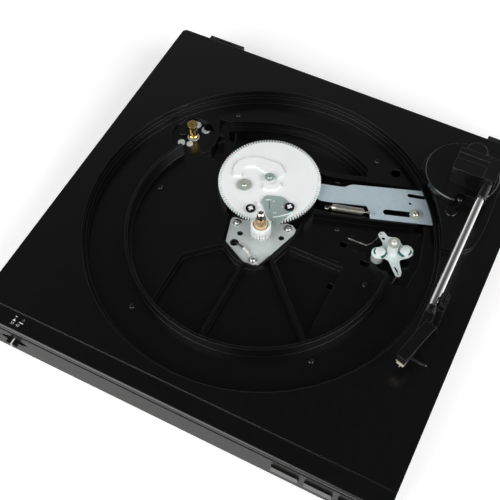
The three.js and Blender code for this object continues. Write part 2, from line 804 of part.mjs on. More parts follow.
// The round recess over the motor, with one raised eye
function motorRecess() {
  const floor = -motorRecessDepth;
  const inside = disc(motorRecessRadius, floor, wellFloor + cutPast, motorAxis);
  const eye = disc(motorBoss.radius, floor - wall / 2, floor + motorEyeHeight, motorBoss.centre, smallSides);
  return disc(motorRecessRadius + wall, floor - wall, wellFloor, motorAxis).subtract(inside).add(eye);
}

function topDeck() {
  const pockets = [
    [leftPocket, pocketFloor], [middlePocket, pocketFloor], [rightRegion, pocketFloor],
    [slideChannel, pocketFloor], [gearPocket, pocketFloor], [rearLedge, pocketFloor],
    [deepPocket, deepFloor], [rearPocket, deepFloor], [grown(plateOutline, wall), -plateSeat],
  ];
  const shells = pockets.map(([outline, floor]) => prism(grown(outline, wall), floor - wall, wellFloor));
  const hollows = pockets.map(([outline, floor]) => prism(outline, floor, wellFloor + cutPast));
  const cup = disc(rimRadius + wall, wellFloor - wall, -wall / 2, [0, 0], wellSides);
  const bank = prism(grown(slideChannel, wall), pocketFloor - wall, -wall / 2);
  const interior = prism(trayOutline(wall / 2), skirtFoot, 0);
  const under = joined([cup, bank, ...shells]).intersect(interior);
  const well = [
    disc(wellRadius, wellFloor, cutPast, [0, 0], wellSides),
    disc(rimRadius, -rimDepth, cutPast, [0, 0], wellSides),
    disc(motorRecessRadius, -motorRecessDepth, cutPast, motorAxis),
    prism(slideChannel, pocketFloor, -wall),
    prism(slideMouth(), pocketFloor, -wall).intersect(interior),
  ];
  const body = cut(joined([deckShell(), under, armPod()]), ...well, ...hollows, ...frontCuts());
  return cut(joined([body, ringRib(), plateSeatForm(), motorRecess(), ...floorForms()]), ...deckHoles());
}

// The way under the deck that the slide plate's end moves along
function slideMouth() {
  const us = slideOutline.map(([u]) => u);
  const vs = slideOutline.map(([, v]) => v);
  const reach = Math.max(...us) + slideTravel + wall;
  const [low, high] = [Math.min(...vs) - wall, Math.max(...vs) + wall];
  return onSlide([[0, low], [reach, low], [reach, high], [0, high]]);
}

// A hole through a floor of the moulding
function throughFloor(radius, floor, centre, sides = smallSides) {
  return disc(radius, floor - wall * 2, floor + wall, centre, sides);
}

function deckHoles() {
  const slots = atShares(wellRadius, pocketSlotCentres).flatMap(([x, y], i) => {
    const [[width, depth]] = atShares(wellRadius / 2, [pocketSlotSizes[i]]);
    return [pocketFloor, deepFloor].map((floor) =>
      block(x - width, x + width, y - depth, y + depth, floor - wall * 2, floor + wall));
  });
  const axles = [gearCentre, slidePost, leverPost];
  const screws = [
    ...floorScrews.map((place) => screwHole(place, wellFloor - wall * 2, wellFloor + wall)),
    ...pocketScrews.map((place) => screwHole(place, pocketFloor - wall * 2, pocketFloor + wall)),
    ...plateScrews.map((place) => screwHole(place, -plateSeat - wall * 2, -plateSeat + wall)),
    ...bossPlaces.map((place) => screwHole(place, skirtFoot - cutPast, skirtFoot + shankLength * 2)),
    ...axles.map((place) => screwHole(place, leverTop - shankLength * 2, cutPast)),
  ];
  const tongueEnd = [leverPost[0], leverPost[1] + roundOpeningRadius];
  const tongue = slotOutline(leverPost, tongueEnd, washerRadius);
  const leverTongue = prism(tongue, deepFloor - wall * 2, pocketFloor + wall);
  const motorFloor = -motorRecessDepth;
  const openings = [
    throughFloor(roundOpeningRadius, pocketFloor, roundOpening, roundSides).subtract(leverTongue),
    throughFloor(darkHoleRadius, wellFloor, darkHole),
    disc(spindleRadius + fit, deepFloor - wall * 2, -plateSeat + cutPast),
    throughFloor(motorHoleRadius, motorFloor, motorAxis),
    throughFloor(motorBoss.radius / 2, motorFloor, motorBoss.centre, screwSides),
    ...motorStuds.map(({ centre, radius }) => throughFloor(radius + fit, motorFloor, centre)),
    disc(armShaftRadius + fit, pocketFloor - wall * 2, podHeight + cutPast, armPivot, smallSides),
    disc(liftPinRadius + fit, -wall * 2, podHeight + cutPast, liftPinPlace, smallSides),
    disc(adjustRadius + fit, podHeight - adjustDepth, podHeight + cutPast, adjustPlace),
    screwHole([restX + restWidth / 2, restY], -wall * 2, cutPast),
  ];
  return [...slots, ...screws, ...openings];
}

// Front
function buttonWindow(x, y0, y1) {
  const [halfWidth, halfHeight] = [buttonWidth / 2 + fit, buttonHeight / 2 + fit];
  return block(x - halfWidth, x + halfWidth, y0, y1, buttonZ - halfHeight, buttonZ + halfHeight);
}

function frontFascia() {
  const [x, z] = selectorPlace;
  const y1 = front + fasciaThickness - fit;
  const panel = block(left, right, front, y1, skirtFoot, -frontLip - fasciaGap);
  const almond = along(almondOutline(), front - cutPast, front + almondDepth);
  const [reach, half] = [selectorTravel + selectorHalf, selectorHalf / 2];
  const track = block(x - reach, x + reach, front - cutPast, y1 + cutPast, z - half, z + half);
  const windows = buttonPlaces.map((place) => buttonWindow(place, front - cutPast, y1 + cutPast));
  return cut(panel, almond, track, ...windows);
}

// The pointed oval round the selector, from two arcs
function almondOutline() {
  const [x, z] = selectorPlace;
  const radius = (almondHalf ** 2 + almondTall ** 2) / (2 * almondTall);
  const reach = Math.asin(almondHalf / radius) / Math.PI * fullTurnDegrees / 2;
  const upward = quarterTurnDegrees;
  const downward = fullTurnDegrees - upward;
  return [
    ...arc([x, z - radius + almondTall], radius, upward + reach, upward - reach, arcSteps),
    ...arc([x, z + radius - almondTall], radius, downward + reach, downward - reach, arcSteps).slice(1, -1),
  ];
}

function speedSelector() {
  const [x, z] = selectorPlace;
  const floor = front + almondDepth - fit;
  const [end, half] = [selectorHalf - selectorEnd, selectorHalf / 2];
  const outline = slotOutline([x - end, z], [x + end, z], selectorGripRadius);
  const grip = along(outline, front - selectorProud, floor);
  const stemBack = front + fasciaThickness - fit * 2;
  const stem = block(x - half, x + half, floor - cutPast, stemBack, z - half + fit, z + half - fit);
  return grip.add(stem);
}

function pushButton(x) {
  const [half, tall] = [buttonWidth / 2, buttonHeight / 2];
  const outline = rounded(x - half, x + half, buttonZ - tall, buttonZ + tall, buttonCorner);
  return along(outline, front - buttonProud, front + fasciaThickness - fit * 3);
}

// Tray, feet and hinge sockets
function trayOutline(inset) {
  const y0 = front + fasciaThickness + inset;
  return rounded(left + inset, right - inset, y0, back - inset, deckCornerRadius);
}

// The moulded dish under the machine, its rim inside the skirt
function baseTray() {
  const floorTop = skirtFoot - fit;
  const rimTop = floorTop + trayRim;
  const clear = wall + fit;
  const plate = prism(trayOutline(wall / 2), trayFoot, floorTop);
  const rim = prism(trayOutline(clear), trayFoot, rimTop)
    .subtract(prism(trayOutline(clear + wall), trayFoot - cutPast, rimTop + cutPast));
  const studHoles = Object.values(feetPlaces)
    .map((place) => disc(footStud + fit, trayFoot - cutPast, floorTop + cutPast, place));
  const holes = bossPlaces.map((place) => screwHole(place, trayFoot - cutPast, floorTop + cutPast));
  const rimBays = bossPlaces.map((place) =>
    disc(bossRadius + fit, floorTop, rimTop + cutPast, place, smallSides));
  const vents = ventSlots(trayFoot - cutPast, floorTop + cutPast);
  return cut(plate.add(rim), ...vents, ...holes, ...studHoles, ...rimBays);
}

// Air slots below the motor
function ventSlots(low, high) {
  const [motorX, motorY] = motorAxis;
  const slots = [];
  for (let i = 0; i < ventCount; i++) {
    const x = motorX + (i - (ventCount - 1) / 2) * ventPitch;
    const ends = [[x, motorY - ventLength / 2], [x, motorY + ventLength / 2]];
    slots.push(prism(slotOutline(...ends, ventPitch / 4, fewSteps), low, high));
  }
  return slots;
}

function foot(place) {
  const top = trayFoot - fit;
  const studTop = skirtFoot + footStudRise;
  return turned([
    [0, ground], [footRadius * footSoleShare, ground], [footRadius * footNeckShare, top - footFlange],
    [footRadius, top - footFlange], [footRadius, top], [footStud, top], [footStud, studTop], [0, studTop],
  ], place, footSides);
}

// Socket that takes one arm of the lid's hinge
function hingeSocket(x) {
  const [y0, y1] = [back + fit, back + hingeReach];
  const outside = block(x - hingeHalf, x + hingeHalf, y0, y1, -hingeTall, -cutPast);
  const half = hingeHalf / 2;
  const mouth = block(x - half, x + half, y0 + wall / 2, y1 - wall / 2, wall - hingeTall, 0);
  return outside.subtract(mouth);
}

// Motor under the deck, its shaft and fixing studs up through the recess
function motorBody() {
  const foot = skirtFoot + fit;
  const bossTop = -motorRecessDepth;
  const shaftTop = -fit * 3;
  const can = turned([
    [0, foot], [motorRadius - motorChamfer, foot], [motorRadius, foot + motorChamfer],
    [motorRadius, motorTop - motorChamfer], [motorRadius - motorChamfer, motorTop], [pulleyRadius, motorTop],
    [pulleyRadius, bossTop], [motorShaft, bossTop], [motorShaft, shaftTop], [0, shaftTop],
  ], motorAxis);
  const studs = motorStuds.map(({ centre, radius }) =>
    disc(radius, motorTop - motorChamfer * 2, bossTop + motorEyeHeight, centre, smallSides));
  return joined([can, ...studs]);
}

function motorPulley() {
  const profile = pulleyShares.map(([wide, up]) => [pulleyRadius * wide, pulleyHeight * (up - 1)]);
  return cut(
    turned(profile, motorAxis),
    disc(motorShaft + fit, -pulleyHeight - cutPast, -fit * 2, motorAxis, smallSides),
    disc(motorShaft, -pulleyHeight / 2, cutPast, motorAxis, smallSides),
  );
}

function motorWasher() {
  const face = fit - motorRecessDepth;
  return disc(motorHoleRadius + fit * 3, face, face + washerThickness, motorAxis)
    .subtract(disc(pulleyRadius + fit, face - cutPast, face + wall, motorAxis));
}

// Cam gear: an outline with straight-flanked teeth, one tooth centred on the angle given
function toothedOutline(teeth, centre, start) {
  const root = toothModule * (teeth / 2 - dedendumShare);
  const tip = toothModule * (teeth / 2 + 1) - toothTrim;
  const step = fullTurnDegrees / teeth;
  const rising = [[root, -toothRootShare], [tip, -toothTipShare]];
  const falling = [[tip, toothTipShare], [root, toothRootShare]];
  const profile = [...rising, ...falling];
  const points = [];
  for (let i = 0; i < teeth; i++) {
    points.push(...profile.map(([radius, share]) => atBearing(radius, start + (i + share) * step)));
  }
  return moved(points, centre);
}

function camGear() {
  const [low, high] = [gearLow - gearRaised, gearTop + gearRaised];
  const pinTop = gearTop + pawlThickness + gearRaised;
  const trackRadius = gearPitch * trackShare;
  const meshDegrees = gearBearingDegrees + fullTurnDegrees / 2;
  const pins = [leftCap, rightCap].map((place) => disc(capBore - fit, gearTop - cutPast, pinTop, place)
    .intersect(crossAt(place, capBore, pinArm, gearTop - cutPast, pinTop)));
  const track = disc(trackRadius, low, gearLow + cutPast, trackCentre)
    .subtract(disc(trackRadius - trackWall, low - cutPast, gearLow, trackCentre));
  const body = joined([
    prism(toothedOutline(gearToothCount, gearCentre, meshDegrees), gearLow, gearTop),
    disc(axleRadius + wall, gearLow, high, gearCentre),
    prism(crescent, gearTop - cutPast, high),
    prism(lobe, gearTop - cutPast, high),
    disc(stopPinRadius, gearTop - cutPast, high, stopPin, smallSides),
    track,
    ...pins,
  ]);
  return cut(
    body,
    disc(axleRadius + fit, low - cutPast, high + cutPast, gearCentre, smallSides),
    screwHole(sideScrew, low - cutPast, high + cutPast),
  );
}

// Black push-on ring over a gear pin
function pinCap(centre) {
  const seat = gearTop + pawlThickness + fit * 2;
  return disc(capRadius, seat, seat + capThickness, centre)
    .subtract(disc(capBore, seat - cutPast, seat + gearRaised, centre));
}

// Swings on the gear's right pin
function tripPawl() {
  const low = gearTop + fit;
  const high = low + pawlThickness;
  const slot = prism(slotOutline(pawlSlotFrom, pawlSlotTo, pawlSlotHalf), low - cutPast, high + cutPast);
  return cut(prism(pawlOutline, low, high), disc(capBore, low - cutPast, high + cutPast, rightCap), slot);
}

// White cup gear on the spindle
function pinion() {
  const start = gearBearingDegrees + fullTurnDegrees / pinionToothCount / 2;
  const teeth = prism(toothedOutline(pinionToothCount, [0, 0], start), pinionLow, pinionTop);
  const cup = disc(cupRadius, pinionLow + wall, pinionTop + cutPast);
  return cut(teeth, cup, disc(bushStem + fit, pinionLow - cutPast, pinionTop));
}

function spindleBush() {
  const body = turned([
    [0, pinionLow], [bushStem, pinionLow], [bushStem, 0], [bushFoot, 0], [bushFoot, bushStep],
    [bushHead, bushTop], [0, bushTop],
  ]);
  const notches = circle([0, 0], bushHead, notchCount)
    .map((place) => disc(notchRadius, bushTop - notchDepth, bushTop + cutPast, place, screwSides));
  return cut(body, disc(spindleRadius + fit, pinionLow - cutPast, bushTop + cutPast), ...notches);
}

function spindle() {
  const tip = spindleTipShares.map(([wide, down]) =>
    [spindleRadius * wide, spindleTop - spindleCone * down]);
  return turned([[0, deepFloor], [spindleRadius, deepFloor], ...tip]);
}

function bearingPlate() {
  const low = plateTop - plateThickness;
  const ends = [low - cutPast, plateTop + cutPast];
  return cut(
    prism(plateOutline, low, plateTop),
    ...plateScrews.map((place) => screwHole(place, ...ends)),
    ...plateSmallHoles.map((place) => disc(shankRadius, ...ends, place, smallSides)),
    disc(plateBigHoleRadius, ...ends, plateBigHole, smallSides),
    disc(spindleRadius + fit, ...ends),
  );
}

// Ring tag under the front screw, crimped on the ground wire
function groundTerminal() {
  const place = plateScrews[plateScrews.length - 1];
  const low = plateTop + fit;
  const high = low + tagThickness;
  const ring = disc(headRadius + fit, low, high, place, smallSides)
    .subtract(screwHole(place, low - cutPast, high + cutPast));
  const [[edgeX, edgeY]] = moved([atBearing(headRadius, bearingOf(place, crimpFront))], place);
  const tail = prism(slotOutline(crimpFront, [edgeX, edgeY], tagThickness * 2), low, high);
  const barrel = bar([...crimpFront, low + crimpRadius], [...crimpBack, low + crimpRadius], crimpRadius);
  return joined([ring, tail, barrel]);
}

// From the plate's big hole to the back of the crimp
function groundWire() {
  const run = plateTop + fit + crimpRadius;
  const length = Math.hypot(crimpBack[0] - plateBigHole[0], crimpBack[1] - plateBigHole[1]);
  const towards = (share) => between(plateBigHole, crimpBack, share);
  const start = towards(groundWireRadius / length * 2);
  const points = [
    [...start, fit * 2 - plateSeat],
    [...start, plateTop],
    [...towards(wireBendShare), run],
    [...towards(1 - fit * 2 / length), run],
  ].map((point) => new THREE.Vector3(...point));
  return rod(new THREE.CatmullRomCurve3(points), groundWireRadius, wireSteps);
}

// Slide plate and its spring
function slidePlate() {
  const ends = [slideLow - cutPast, slideTop + cutPast];
  const guide = onSlide([[-slideTravel - fit * 2, 0], [fit, 0]]);
  const [[u0, v1]] = atShares(slideLength, [slideTabShare]);
  const [u1, v0] = [u0 + plateThickness, v1 - slideTabWidth];
  const tab = onSlide([[u0, v1], [u1, v1], [u1, v0], [u0, v0]]);
  return cut(
    prism(onSlide(slideOutline), slideLow, slideTop).add(prism(tab, slideLow, slideTop + slideTabHeight)),
    prism(slotOutline(...guide, axleRadius + fit * 2), ...ends),
    prism(slotOutline(endSlotFrom, endSlotTo, slideSlotHalf), ...ends),
    disc(shankRadius, ...ends, smallHole, smallSides),
  );
}

// One unbroken wire: straight lead, coil, straight lead, level along a line in plan
class WoundPath extends THREE.Curve {
  constructor(from, to, height) {
    super();
    this.from = from;
    this.turn = radians(bearingOf(from, to));
    this.height = height;
    this.length = Math.hypot(to[0] - from[0], to[1] - from[1]);
    this.pitch = this.length * coilShare / curlCount;
  }

  getPoint(t) {
    const travel = t * this.length;
    const turns = Math.min(Math.max((travel - springLead) / this.pitch, 0), curlCount);
    const ease = Math.min(1, turns * 2, (curlCount - turns) * 2);
    const side = Math.sin(radians(turns * fullTurnDegrees)) * springRadius * ease;
    const rise = Math.cos(radians(turns * fullTurnDegrees)) * springRadius * ease;
    return new THREE.Vector3(
      this.from[0] + Math.cos(this.turn) * travel - Math.sin(this.turn) * side,
      this.from[1] + Math.sin(this.turn) * travel + Math.cos(this.turn) * side,
      this.height + rise,
    );
  }
}

// Smallest gap between stretches of one wire that lie at least half a curl apart
function leastGap(path, steps, radius) {
  const points = path.getSpacedPoints(steps);
  const apart = curlSteps / 2 + 1;
  let least = Infinity;
  for (let i = 0; i < points.length; i++) {
    for (let j = i + apart; j < points.length; j++) {
      least = Math.min(least, points[i].distanceTo(points[j]) - radius * 2);
    }
  }
  return least;
}

// From the peg on the floor to the slide plate's tab
function returnSpring() {
  const [pegClear, tabClear] = [shankRadius + fit + springWire, fit * 2];
  const length = Math.hypot(springEnd[0] - springPeg[0], springEnd[1] - springPeg[1]);
  const from = between(springPeg, springEnd, pegClear / length);
  const to = between(springPeg, springEnd, 1 - tabClear / length);
  const path = new WoundPath(from, to, slideTop + springRadius / 2);
  const steps = curlCount * curlSteps + curlSteps / 2;
  const wire = rod(path, springWire, steps, wireSides);
  console.log('return_spring least gap', leastGap(path, steps, springWire).toFixed(2));
  return wire;
}

// Cross lever and what is near it
function crossLever() {
  const ends = [leverLow - cutPast, leverTop + cutPast];
  return cut(
    prism(leverOutline, leverLow, leverTop),
    disc(axleRadius + fit, ...ends, leverPost, smallSides),
    ...[tipHole, midHole, lowHole].map((place) => disc(leverHoleRadius, ...ends, place, smallSides)),
  );
}

function leverDisc(centre) {
  const low = leverTop + fit;
  const profile = discShares.map(([wide, up]) => [leverDiscRadius * wide, low + leverDiscThickness * up]);
  return turned(profile, centre);
}

function leverSpacer() {
  return disc(leverDiscRadius - fit, pocketFloor + fit, leverLow - fit, discLeft);
}

// Wound round its post, its end under the lever's tip
function clickSpring() {
  const radius = shankRadius + fit + springWire;
  const low = pocketFloor + wall;
  const high = low + clickTurnCount * clickPitch;
  const [[x, y], [tipX, tipY]] = [clickPost, tipHole];
  const points = [];
  for (let i = 0; i <= clickTurnCount * curlSteps; i++) {
    const [dx, dy] = atBearing(radius, quarterTurnDegrees + i * fullTurnDegrees / curlSteps);
    points.push([x + dx, y + dy, low + i / curlSteps * clickPitch]);
  }
  points.push(...clickArmShares.map(([u, v, up]) =>
    [x + (tipX - x) * u, y - radius + (tipY - y) * v, high + clickPitch * up]));
  points.push([tipX - fit, tipY - wall, leverLow - fit - springWire * 2]);
  const way = points.map((point) => new THREE.Vector3(...point));
  const curve = new THREE.CatmullRomCurve3(way, false, 'catmullrom', clickTensionShare);
  return rod(curve, springWire, clickSteps, wireSides);
}

// Short wire from the lever's low hole towards the front
function linkWire() {
  const z = leverLow - fit - springWire;
  return bar([...lowHole, z], [...linkEnd, z - fit], springWire, wireSides);
}

// Tonearm
function armBase() {
  const [x] = liftPinPlace;
  const body = turned([
    [0, armBaseLow], [armBaseRadius, armBaseLow], [armBaseRadius, armBaseTop - armChamfer],
    [armBaseRadius - armChamfer, armBaseTop], [0, armBaseTop],
  ], armPivot, baseSides);
  const ends = [armBaseLow - cutPast, armBaseTop + cutPast];
  const [y0, y1] = [boxFront - armBaseRadius, boxFront - notchBehind];
  const notch = block(x - notchLeft, x + notchRight, y0, y1, ...ends);
  return cut(body, disc(armShaftRadius + fit, ...ends, armPivot, smallSides), notch);
}

function armHousing() {
  const outline = rounded(boxLeft, boxRight, boxFront, boxBack, armBoxCorner, fewSteps);
  const box = prism(outline, armBoxLow, armBoxTop);
  const grooveEdges = grooveShares.map((share) => boxFront + (boxBack - boxFront) * share);
  const grooveEnds = [armBoxTop - armGroove, armBoxTop + cutPast];
  const groove = block(boxLeft - cutPast, boxRight + cutPast, ...grooveEdges, ...grooveEnds);
  const shaft = disc(armShaftRadius, -armShaftLength, armBoxLow + cutPast, armPivot, smallSides);
  const axleEnds = [boxRight - cutPast, boxRight + armAxleLength].map((x) => [x, pivotY, liftAxisZ]);
  const axle = bar(...axleEnds, armAxleRadius);
  return joined([box.subtract(groove), shaft, axle]);
}

// One rib's outline: straight sides from the housing, then half an oval
function ribOutline(half, reach) {
  const middle = (boxLeft + boxRight) / 2;
  const start = boxBack + fit;
  const sides = start + ribbedDepth * ribSideShare;
  const oval = arc([0, 0], 1, 0, fullTurnDegrees / 2, ribArcSteps)
    .map(([x, y]) => [middle + x * half, sides + y * reach]);
  return [[middle + half, start], ...oval, [middle - half, start]];
}

// Stacked ribs at the back of the housing, with thinner layers between them
function ribbedBack() {
  const half = (boxRight - boxLeft) / 2 - ribbedInset;
  const reach = ribbedDepth * (1 - ribSideShare);
  const pitch = armBoxHeight * ribbedHeightShare / ribCount;
  const layers = [];
  for (let i = 0; i < ribCount; i++) {
    const low = armBoxLow + ribbedRise + i * pitch;
    const taper = 1 - (i / ribCount) ** 2 * ribTaperShare;
    const thin = ribOutline(half * taper - ribStep, reach * taper - ribStep);
    layers.push(prism(ribOutline(half * taper, reach * taper), low, low + pitch * ribThickShare));
    layers.push(prism(thin, low, low + pitch * (1 + ribLapShare)));
  }
  return joined(layers);
}

// Swings up about the housing's axle, with the collar that holds the tube
function armBlock() {
  const low = armBoxLow + armSlack;
  const face = boxFront + armBlockStep;
  const side = [
    [face, low], [pivotY + armHeel, low], [boxBack, low + armBoxHeight * armHeelShare], [boxBack, armBoxTop],
    [face, armBoxTop],
  ];
  const axleEnd = [boxRight + armAxleLength + fit, pivotY, liftAxisZ];
  const collar = onTubeLine(face + cutPast, tubeStart, tubeRadius + collarWall);
  return cut(
    across(side, boxRight + fit, armRight).add(collar),
    onTubeLine(tubeStart + tubeSeat, tubeStart - cutPast, tubeRadius + fit),
    bar([boxRight, pivotY, liftAxisZ], axleEnd, armAxleRadius + fit),
  );
}

// A round bar on the arm tube's axis
function onTubeLine(y0, y1, radius) {
  return bar([tubeX, y0, tubeHeight], [tubeX, y1, tubeHeight], radius, roundSides);
}

function armTube() {
  return onTubeLine(tubeStart + tubeSeat - fit, tubeEnd, tubeRadius);
}

function headshell() {
  const under = shellTop - shellThickness;
  const neckTop = shellTop - shellStep;
  const plate = prism(onShell(shellShares), under, shellTop);
  const skirt = prism(onShell(shellSkirtShares), under - shellThickness, neckTop);
  const neck = prism(neckOutline, tubeHeight - tubeRadius - fit, neckTop);
  const sleeve = onTubeLine(tubeEnd + sleeveLap, tubeEnd - sleeveLap * 2, tubeRadius + collarWall);
  const bore = onTubeLine(tubeEnd + sleeveLap * 4, tubeEnd - fit, tubeRadius + fit);
  return cut(joined([plate, skirt, neck, sleeve]), bore);
}

function cartridge() {
  const from = 1 - cartridgeLong / headshellLength;
  const middle = (cartridgeTop + cartridgeLow) / 2;
  const [upper, lower] = cartridgeHalfShares.map((half, i) =>
    shellOblong(half, from + half * i, cartridgeEndShares[i]));
  return prism(upper, middle - cutPast, cartridgeTop).add(prism(lower, cartridgeLow, middle));
}

function shellOblong(half, from, to) {
  return onShell([[half, from], [-half, from], [-half, to], [half, to]]);
}

function stylus() {
  const top = cartridgeLow - fit;
  const [from, to] = onShell(stylusArmShares);
  const holder = prism(onShell(stylusHolderShares), top - stylusThickness, top);
  const low = top - stylusDrop;
  const cantilever = bar([...from, top - stylusThickness / 2], [...to, low], stylusWire, screwSides);
  const tip = turned([[0, low - stylusThickness], [stylusWire, low], [0, low]], to, screwSides);
  return joined([holder, cantilever, tip]);
}

function fingerLift() {
  const [[x, y]] = onShell([fingerRootShare]);
  const z = shellTop - shellThickness / 2;
  const points = fingerShares.map(([u, v, up]) =>
    new THREE.Vector3(x + fit + fingerLength * u, y + fingerLength * v, z + fingerLength * up));
  return rod(new THREE.CatmullRomCurve3(points), fingerRadius, wireSteps);
}

// Stands on the deck beside the tube, with a shelf under it and a fork for the clip
function armRest() {
  const top = clipZ - forkRise * 2;
  const column = across([
    [restY - restHalf, fit], [restY + restHalf, fit], [restY + restHalf * restTaperShare, top],
    [restY - restHalf * restTaperShare, top],
  ], restX, restX + restWidth);
  const shelfTop = tubeHeight - tubeRadius - fit;
  const shelfSides = [restY - shelfHalf, restY + shelfHalf];
  const shelf = block(tubeX - tubeRadius, restX + cutPast, ...shelfSides, shelfTop - shelfHalf, shelfTop);
  const forkEnds = [top - cutPast, clipZ + forkRise];
  const fork = [restY - forkHalf - forkWall, restY + forkHalf].map((y) =>
    block(restX, restX + restWidth - forkStep, y, y + forkWall, ...forkEnds));
  const reach = forkHalf + forkWall + cutPast;
  const bore = bar([clipX, restY - reach, clipZ], [clipX, restY + reach, clipZ], clipAxleRadius + fit);
  return cut(joined([column, shelf, ...fork]), bore);
}

function restClip() {
  const [half, side] = [clipThickness / 2, forkHalf - fit];
  const sides = [restY - side, restY + side];
  const finger = block(clipX - half, clipX + half, ...sides, clipZ - half, clipZ + clipHeight);
  const reach = forkHalf + forkWall - fit;
  return finger.add(bar([clipX, restY - reach, clipZ], [clipX, restY + reach, clipZ], clipAxleRadius));
}

function liftPin() {
  const foot = -wall * 2;
  const [under, over] = [armBaseTop - armChamfer, armBaseTop + armChamfer];
  return turned([
    [0, foot], [liftPinRadius, foot], [liftPinRadius, under], [liftPinHead, under], [liftPinHead, armBaseTop],
    [liftPinRadius, over], [0, over],
  ], liftPinPlace);
}

function adjustCap() {
  const low = podHeight - adjustDepth + fit;
  const top = podHeight + adjustRise;
  return turned([
    [0, low], [adjustRadius, low], [adjustRadius, podHeight], [adjustRadius - adjustRise, top], [0, top],
  ], adjustPlace);
}

// Case
addPart('top_deck', topDeck(), blackPlastic);
addPart('base_tray', baseTray(), darkPlastic);
Object.entries(feetPlaces).forEach(([name, place]) => addPart(name, foot(place), rubber));
addPart('front_fascia', frontFascia(), fasciaPlastic);
addPart('speed_selector', speedSelector(), blackPlastic);
buttonNames.forEach((name, i) => addPart(name, pushButton(buttonPlaces[i]), darkPlastic));
Object.entries(hingePlaces).forEach(([name, x]) => addPart(name, hingeSocket(x), blackPlastic));

// Motor
addPart('motor', motorBody(), steel);
addPart('motor_pulley', motorPulley(), brass);
addPart('motor_washer', motorWasher(), dullZinc);

// Cam gear, pinion and spindle
addPart('cam_gear', camGear(), whitePlastic);
addPart('gear_screw', screw(gearCentre, gearTop + gearRaised), dullZinc);
addPart('gear_side_washer', washer(sideScrew, gearTop + fit), dullZinc);
addPart('gear_side_screw', screw(sideScrew, sideScrewSeat, smallHeadRadius, gearThickness), steel);
addPart('gear_cap_left', pinCap(leftCap), rubber);
addPart('gear_cap_right', pinCap(rightCap), rubber);
addPart('trip_pawl', tripPawl(), dullZinc);
addPart('pinion', pinion(), whitePlastic);
addPart('spindle_bush', spindleBush(), brass);
addPart('spindle', spindle(), chrome);
addPart('bearing_plate', bearingPlate(), zinc);
addPart('plate_screw_left', screw(plateScrews[0], plateTop), steel);
addPart('plate_screw_right', screw(plateScrews[1], plateTop), steel);
addPart('plate_screw_front', screw(plateScrews[2], plateTop + fit + tagThickness), steel);
addPart('ground_terminal', groundTerminal(), steel);
addPart('ground_wire', groundWire(), rubber);

// Slide and lever
addPart('slide_plate', slidePlate(), zinc);
addPart('slide_washer', washer(slidePost, slideTop + fit), dullZinc);
addPart('slide_screw', screw(slidePost, slideTop + fit + washerThickness), steel);
addPart('return_spring', returnSpring(), steel);
addPart('cross_lever', crossLever(), zinc);
addPart('lever_washer', washer(leverPost, leverTop + fit), dullZinc);
addPart('lever_screw', screw(leverPost, leverTop + fit + washerThickness), steel);
addPart('lever_disc_left', leverDisc(discLeft), whitePlastic);
addPart('lever_disc_right', leverDisc(discRight), whitePlastic);
addPart('lever_spacer', leverSpacer(), dullZinc);
addPart('click_spring', clickSpring(), steel);
addPart('link_wire', linkWire(), steel);

// Tonearm
addPart('arm_base', armBase(), blackPlastic);
addPart('arm_housing', armHousing(), blackPlastic);
addPart('arm_ribbed_back', ribbedBack(), blackPlastic);
addPart('arm_block', armBlock(), blackPlastic);
addPart('arm_tube', armTube(), chrome);
addPart('headshell', headshell(), blackPlastic);
addPart('cartridge', cartridge(), beige);
addPart('stylus', stylus(), rubber);
addPart('finger_lift', fingerLift(), blackPlastic);
addPart('arm_rest', armRest(), blackPlastic);
addPart('rest_clip', restClip(), blackPlastic);
addPart('lift_pin', liftPin(), steel);
addPart('adjust_cap', adjustCap(), darkPlastic);

export default machine;
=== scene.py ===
import math

import bmesh
import bpy
from mathutils import Matrix, Vector


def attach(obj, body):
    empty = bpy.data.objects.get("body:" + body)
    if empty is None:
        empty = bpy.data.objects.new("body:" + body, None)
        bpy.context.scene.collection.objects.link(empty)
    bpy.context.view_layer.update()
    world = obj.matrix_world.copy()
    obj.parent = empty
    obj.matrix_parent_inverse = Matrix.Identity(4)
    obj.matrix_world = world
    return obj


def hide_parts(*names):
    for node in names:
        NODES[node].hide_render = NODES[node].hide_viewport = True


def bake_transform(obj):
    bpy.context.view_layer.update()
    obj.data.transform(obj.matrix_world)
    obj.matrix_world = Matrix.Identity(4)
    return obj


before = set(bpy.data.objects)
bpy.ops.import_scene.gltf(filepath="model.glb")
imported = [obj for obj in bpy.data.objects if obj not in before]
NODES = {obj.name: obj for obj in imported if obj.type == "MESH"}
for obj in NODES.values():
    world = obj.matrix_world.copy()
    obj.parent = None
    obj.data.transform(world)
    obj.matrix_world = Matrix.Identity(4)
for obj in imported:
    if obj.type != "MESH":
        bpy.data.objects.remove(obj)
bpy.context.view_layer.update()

# The spindle's axis at the deck's top face, in millimetres of the row frame
SPINDLE = Vector((-8.3, 1.1, 48.5))
MM = 0.001

# Heights in millimetres from the deck's top face
WELL_FLOOR = -13.5
POCKET_FLOOR = -21.0
TRAY_LOW = -38.5
PLATE_TOP = -17.0
SLIDE_TOP = -12.0
SLIDE_LOW = -13.2
SLIDE_WASHER_TOP = -10.9
LEVER_TOP = -12.0
DISC_TOP = -10.5
CAP_TOP = DISC_TOP + 1.5
BOSS_TOP = 0.9
PAWL_TOP = -4.5
MOTOR_RECESS = -15.2

# Places in millimetres from the spindle's axis
GEAR_CENTRE = (-16.32, 50.22)
GEAR_WASHER = (-33.6, 34.8)
SLIDE_POST = (112.05, 77.03)
SLIDE_WAY = (0.9455, 0.3256)
LEVER_BOSS = (107.75, 33.4)
PULLEY_AXIS = (-104.45, 69.88)
MOTOR_BOSS = (-115.8, 70.2)
STUD_SHADE = (-97.3, 85.4)


def at(x, y, z):
    """A place given in millimetres from the spindle axis and the deck's top face."""
    return (Vector((x, y, z)) + SPINDLE) * MM


# Materials


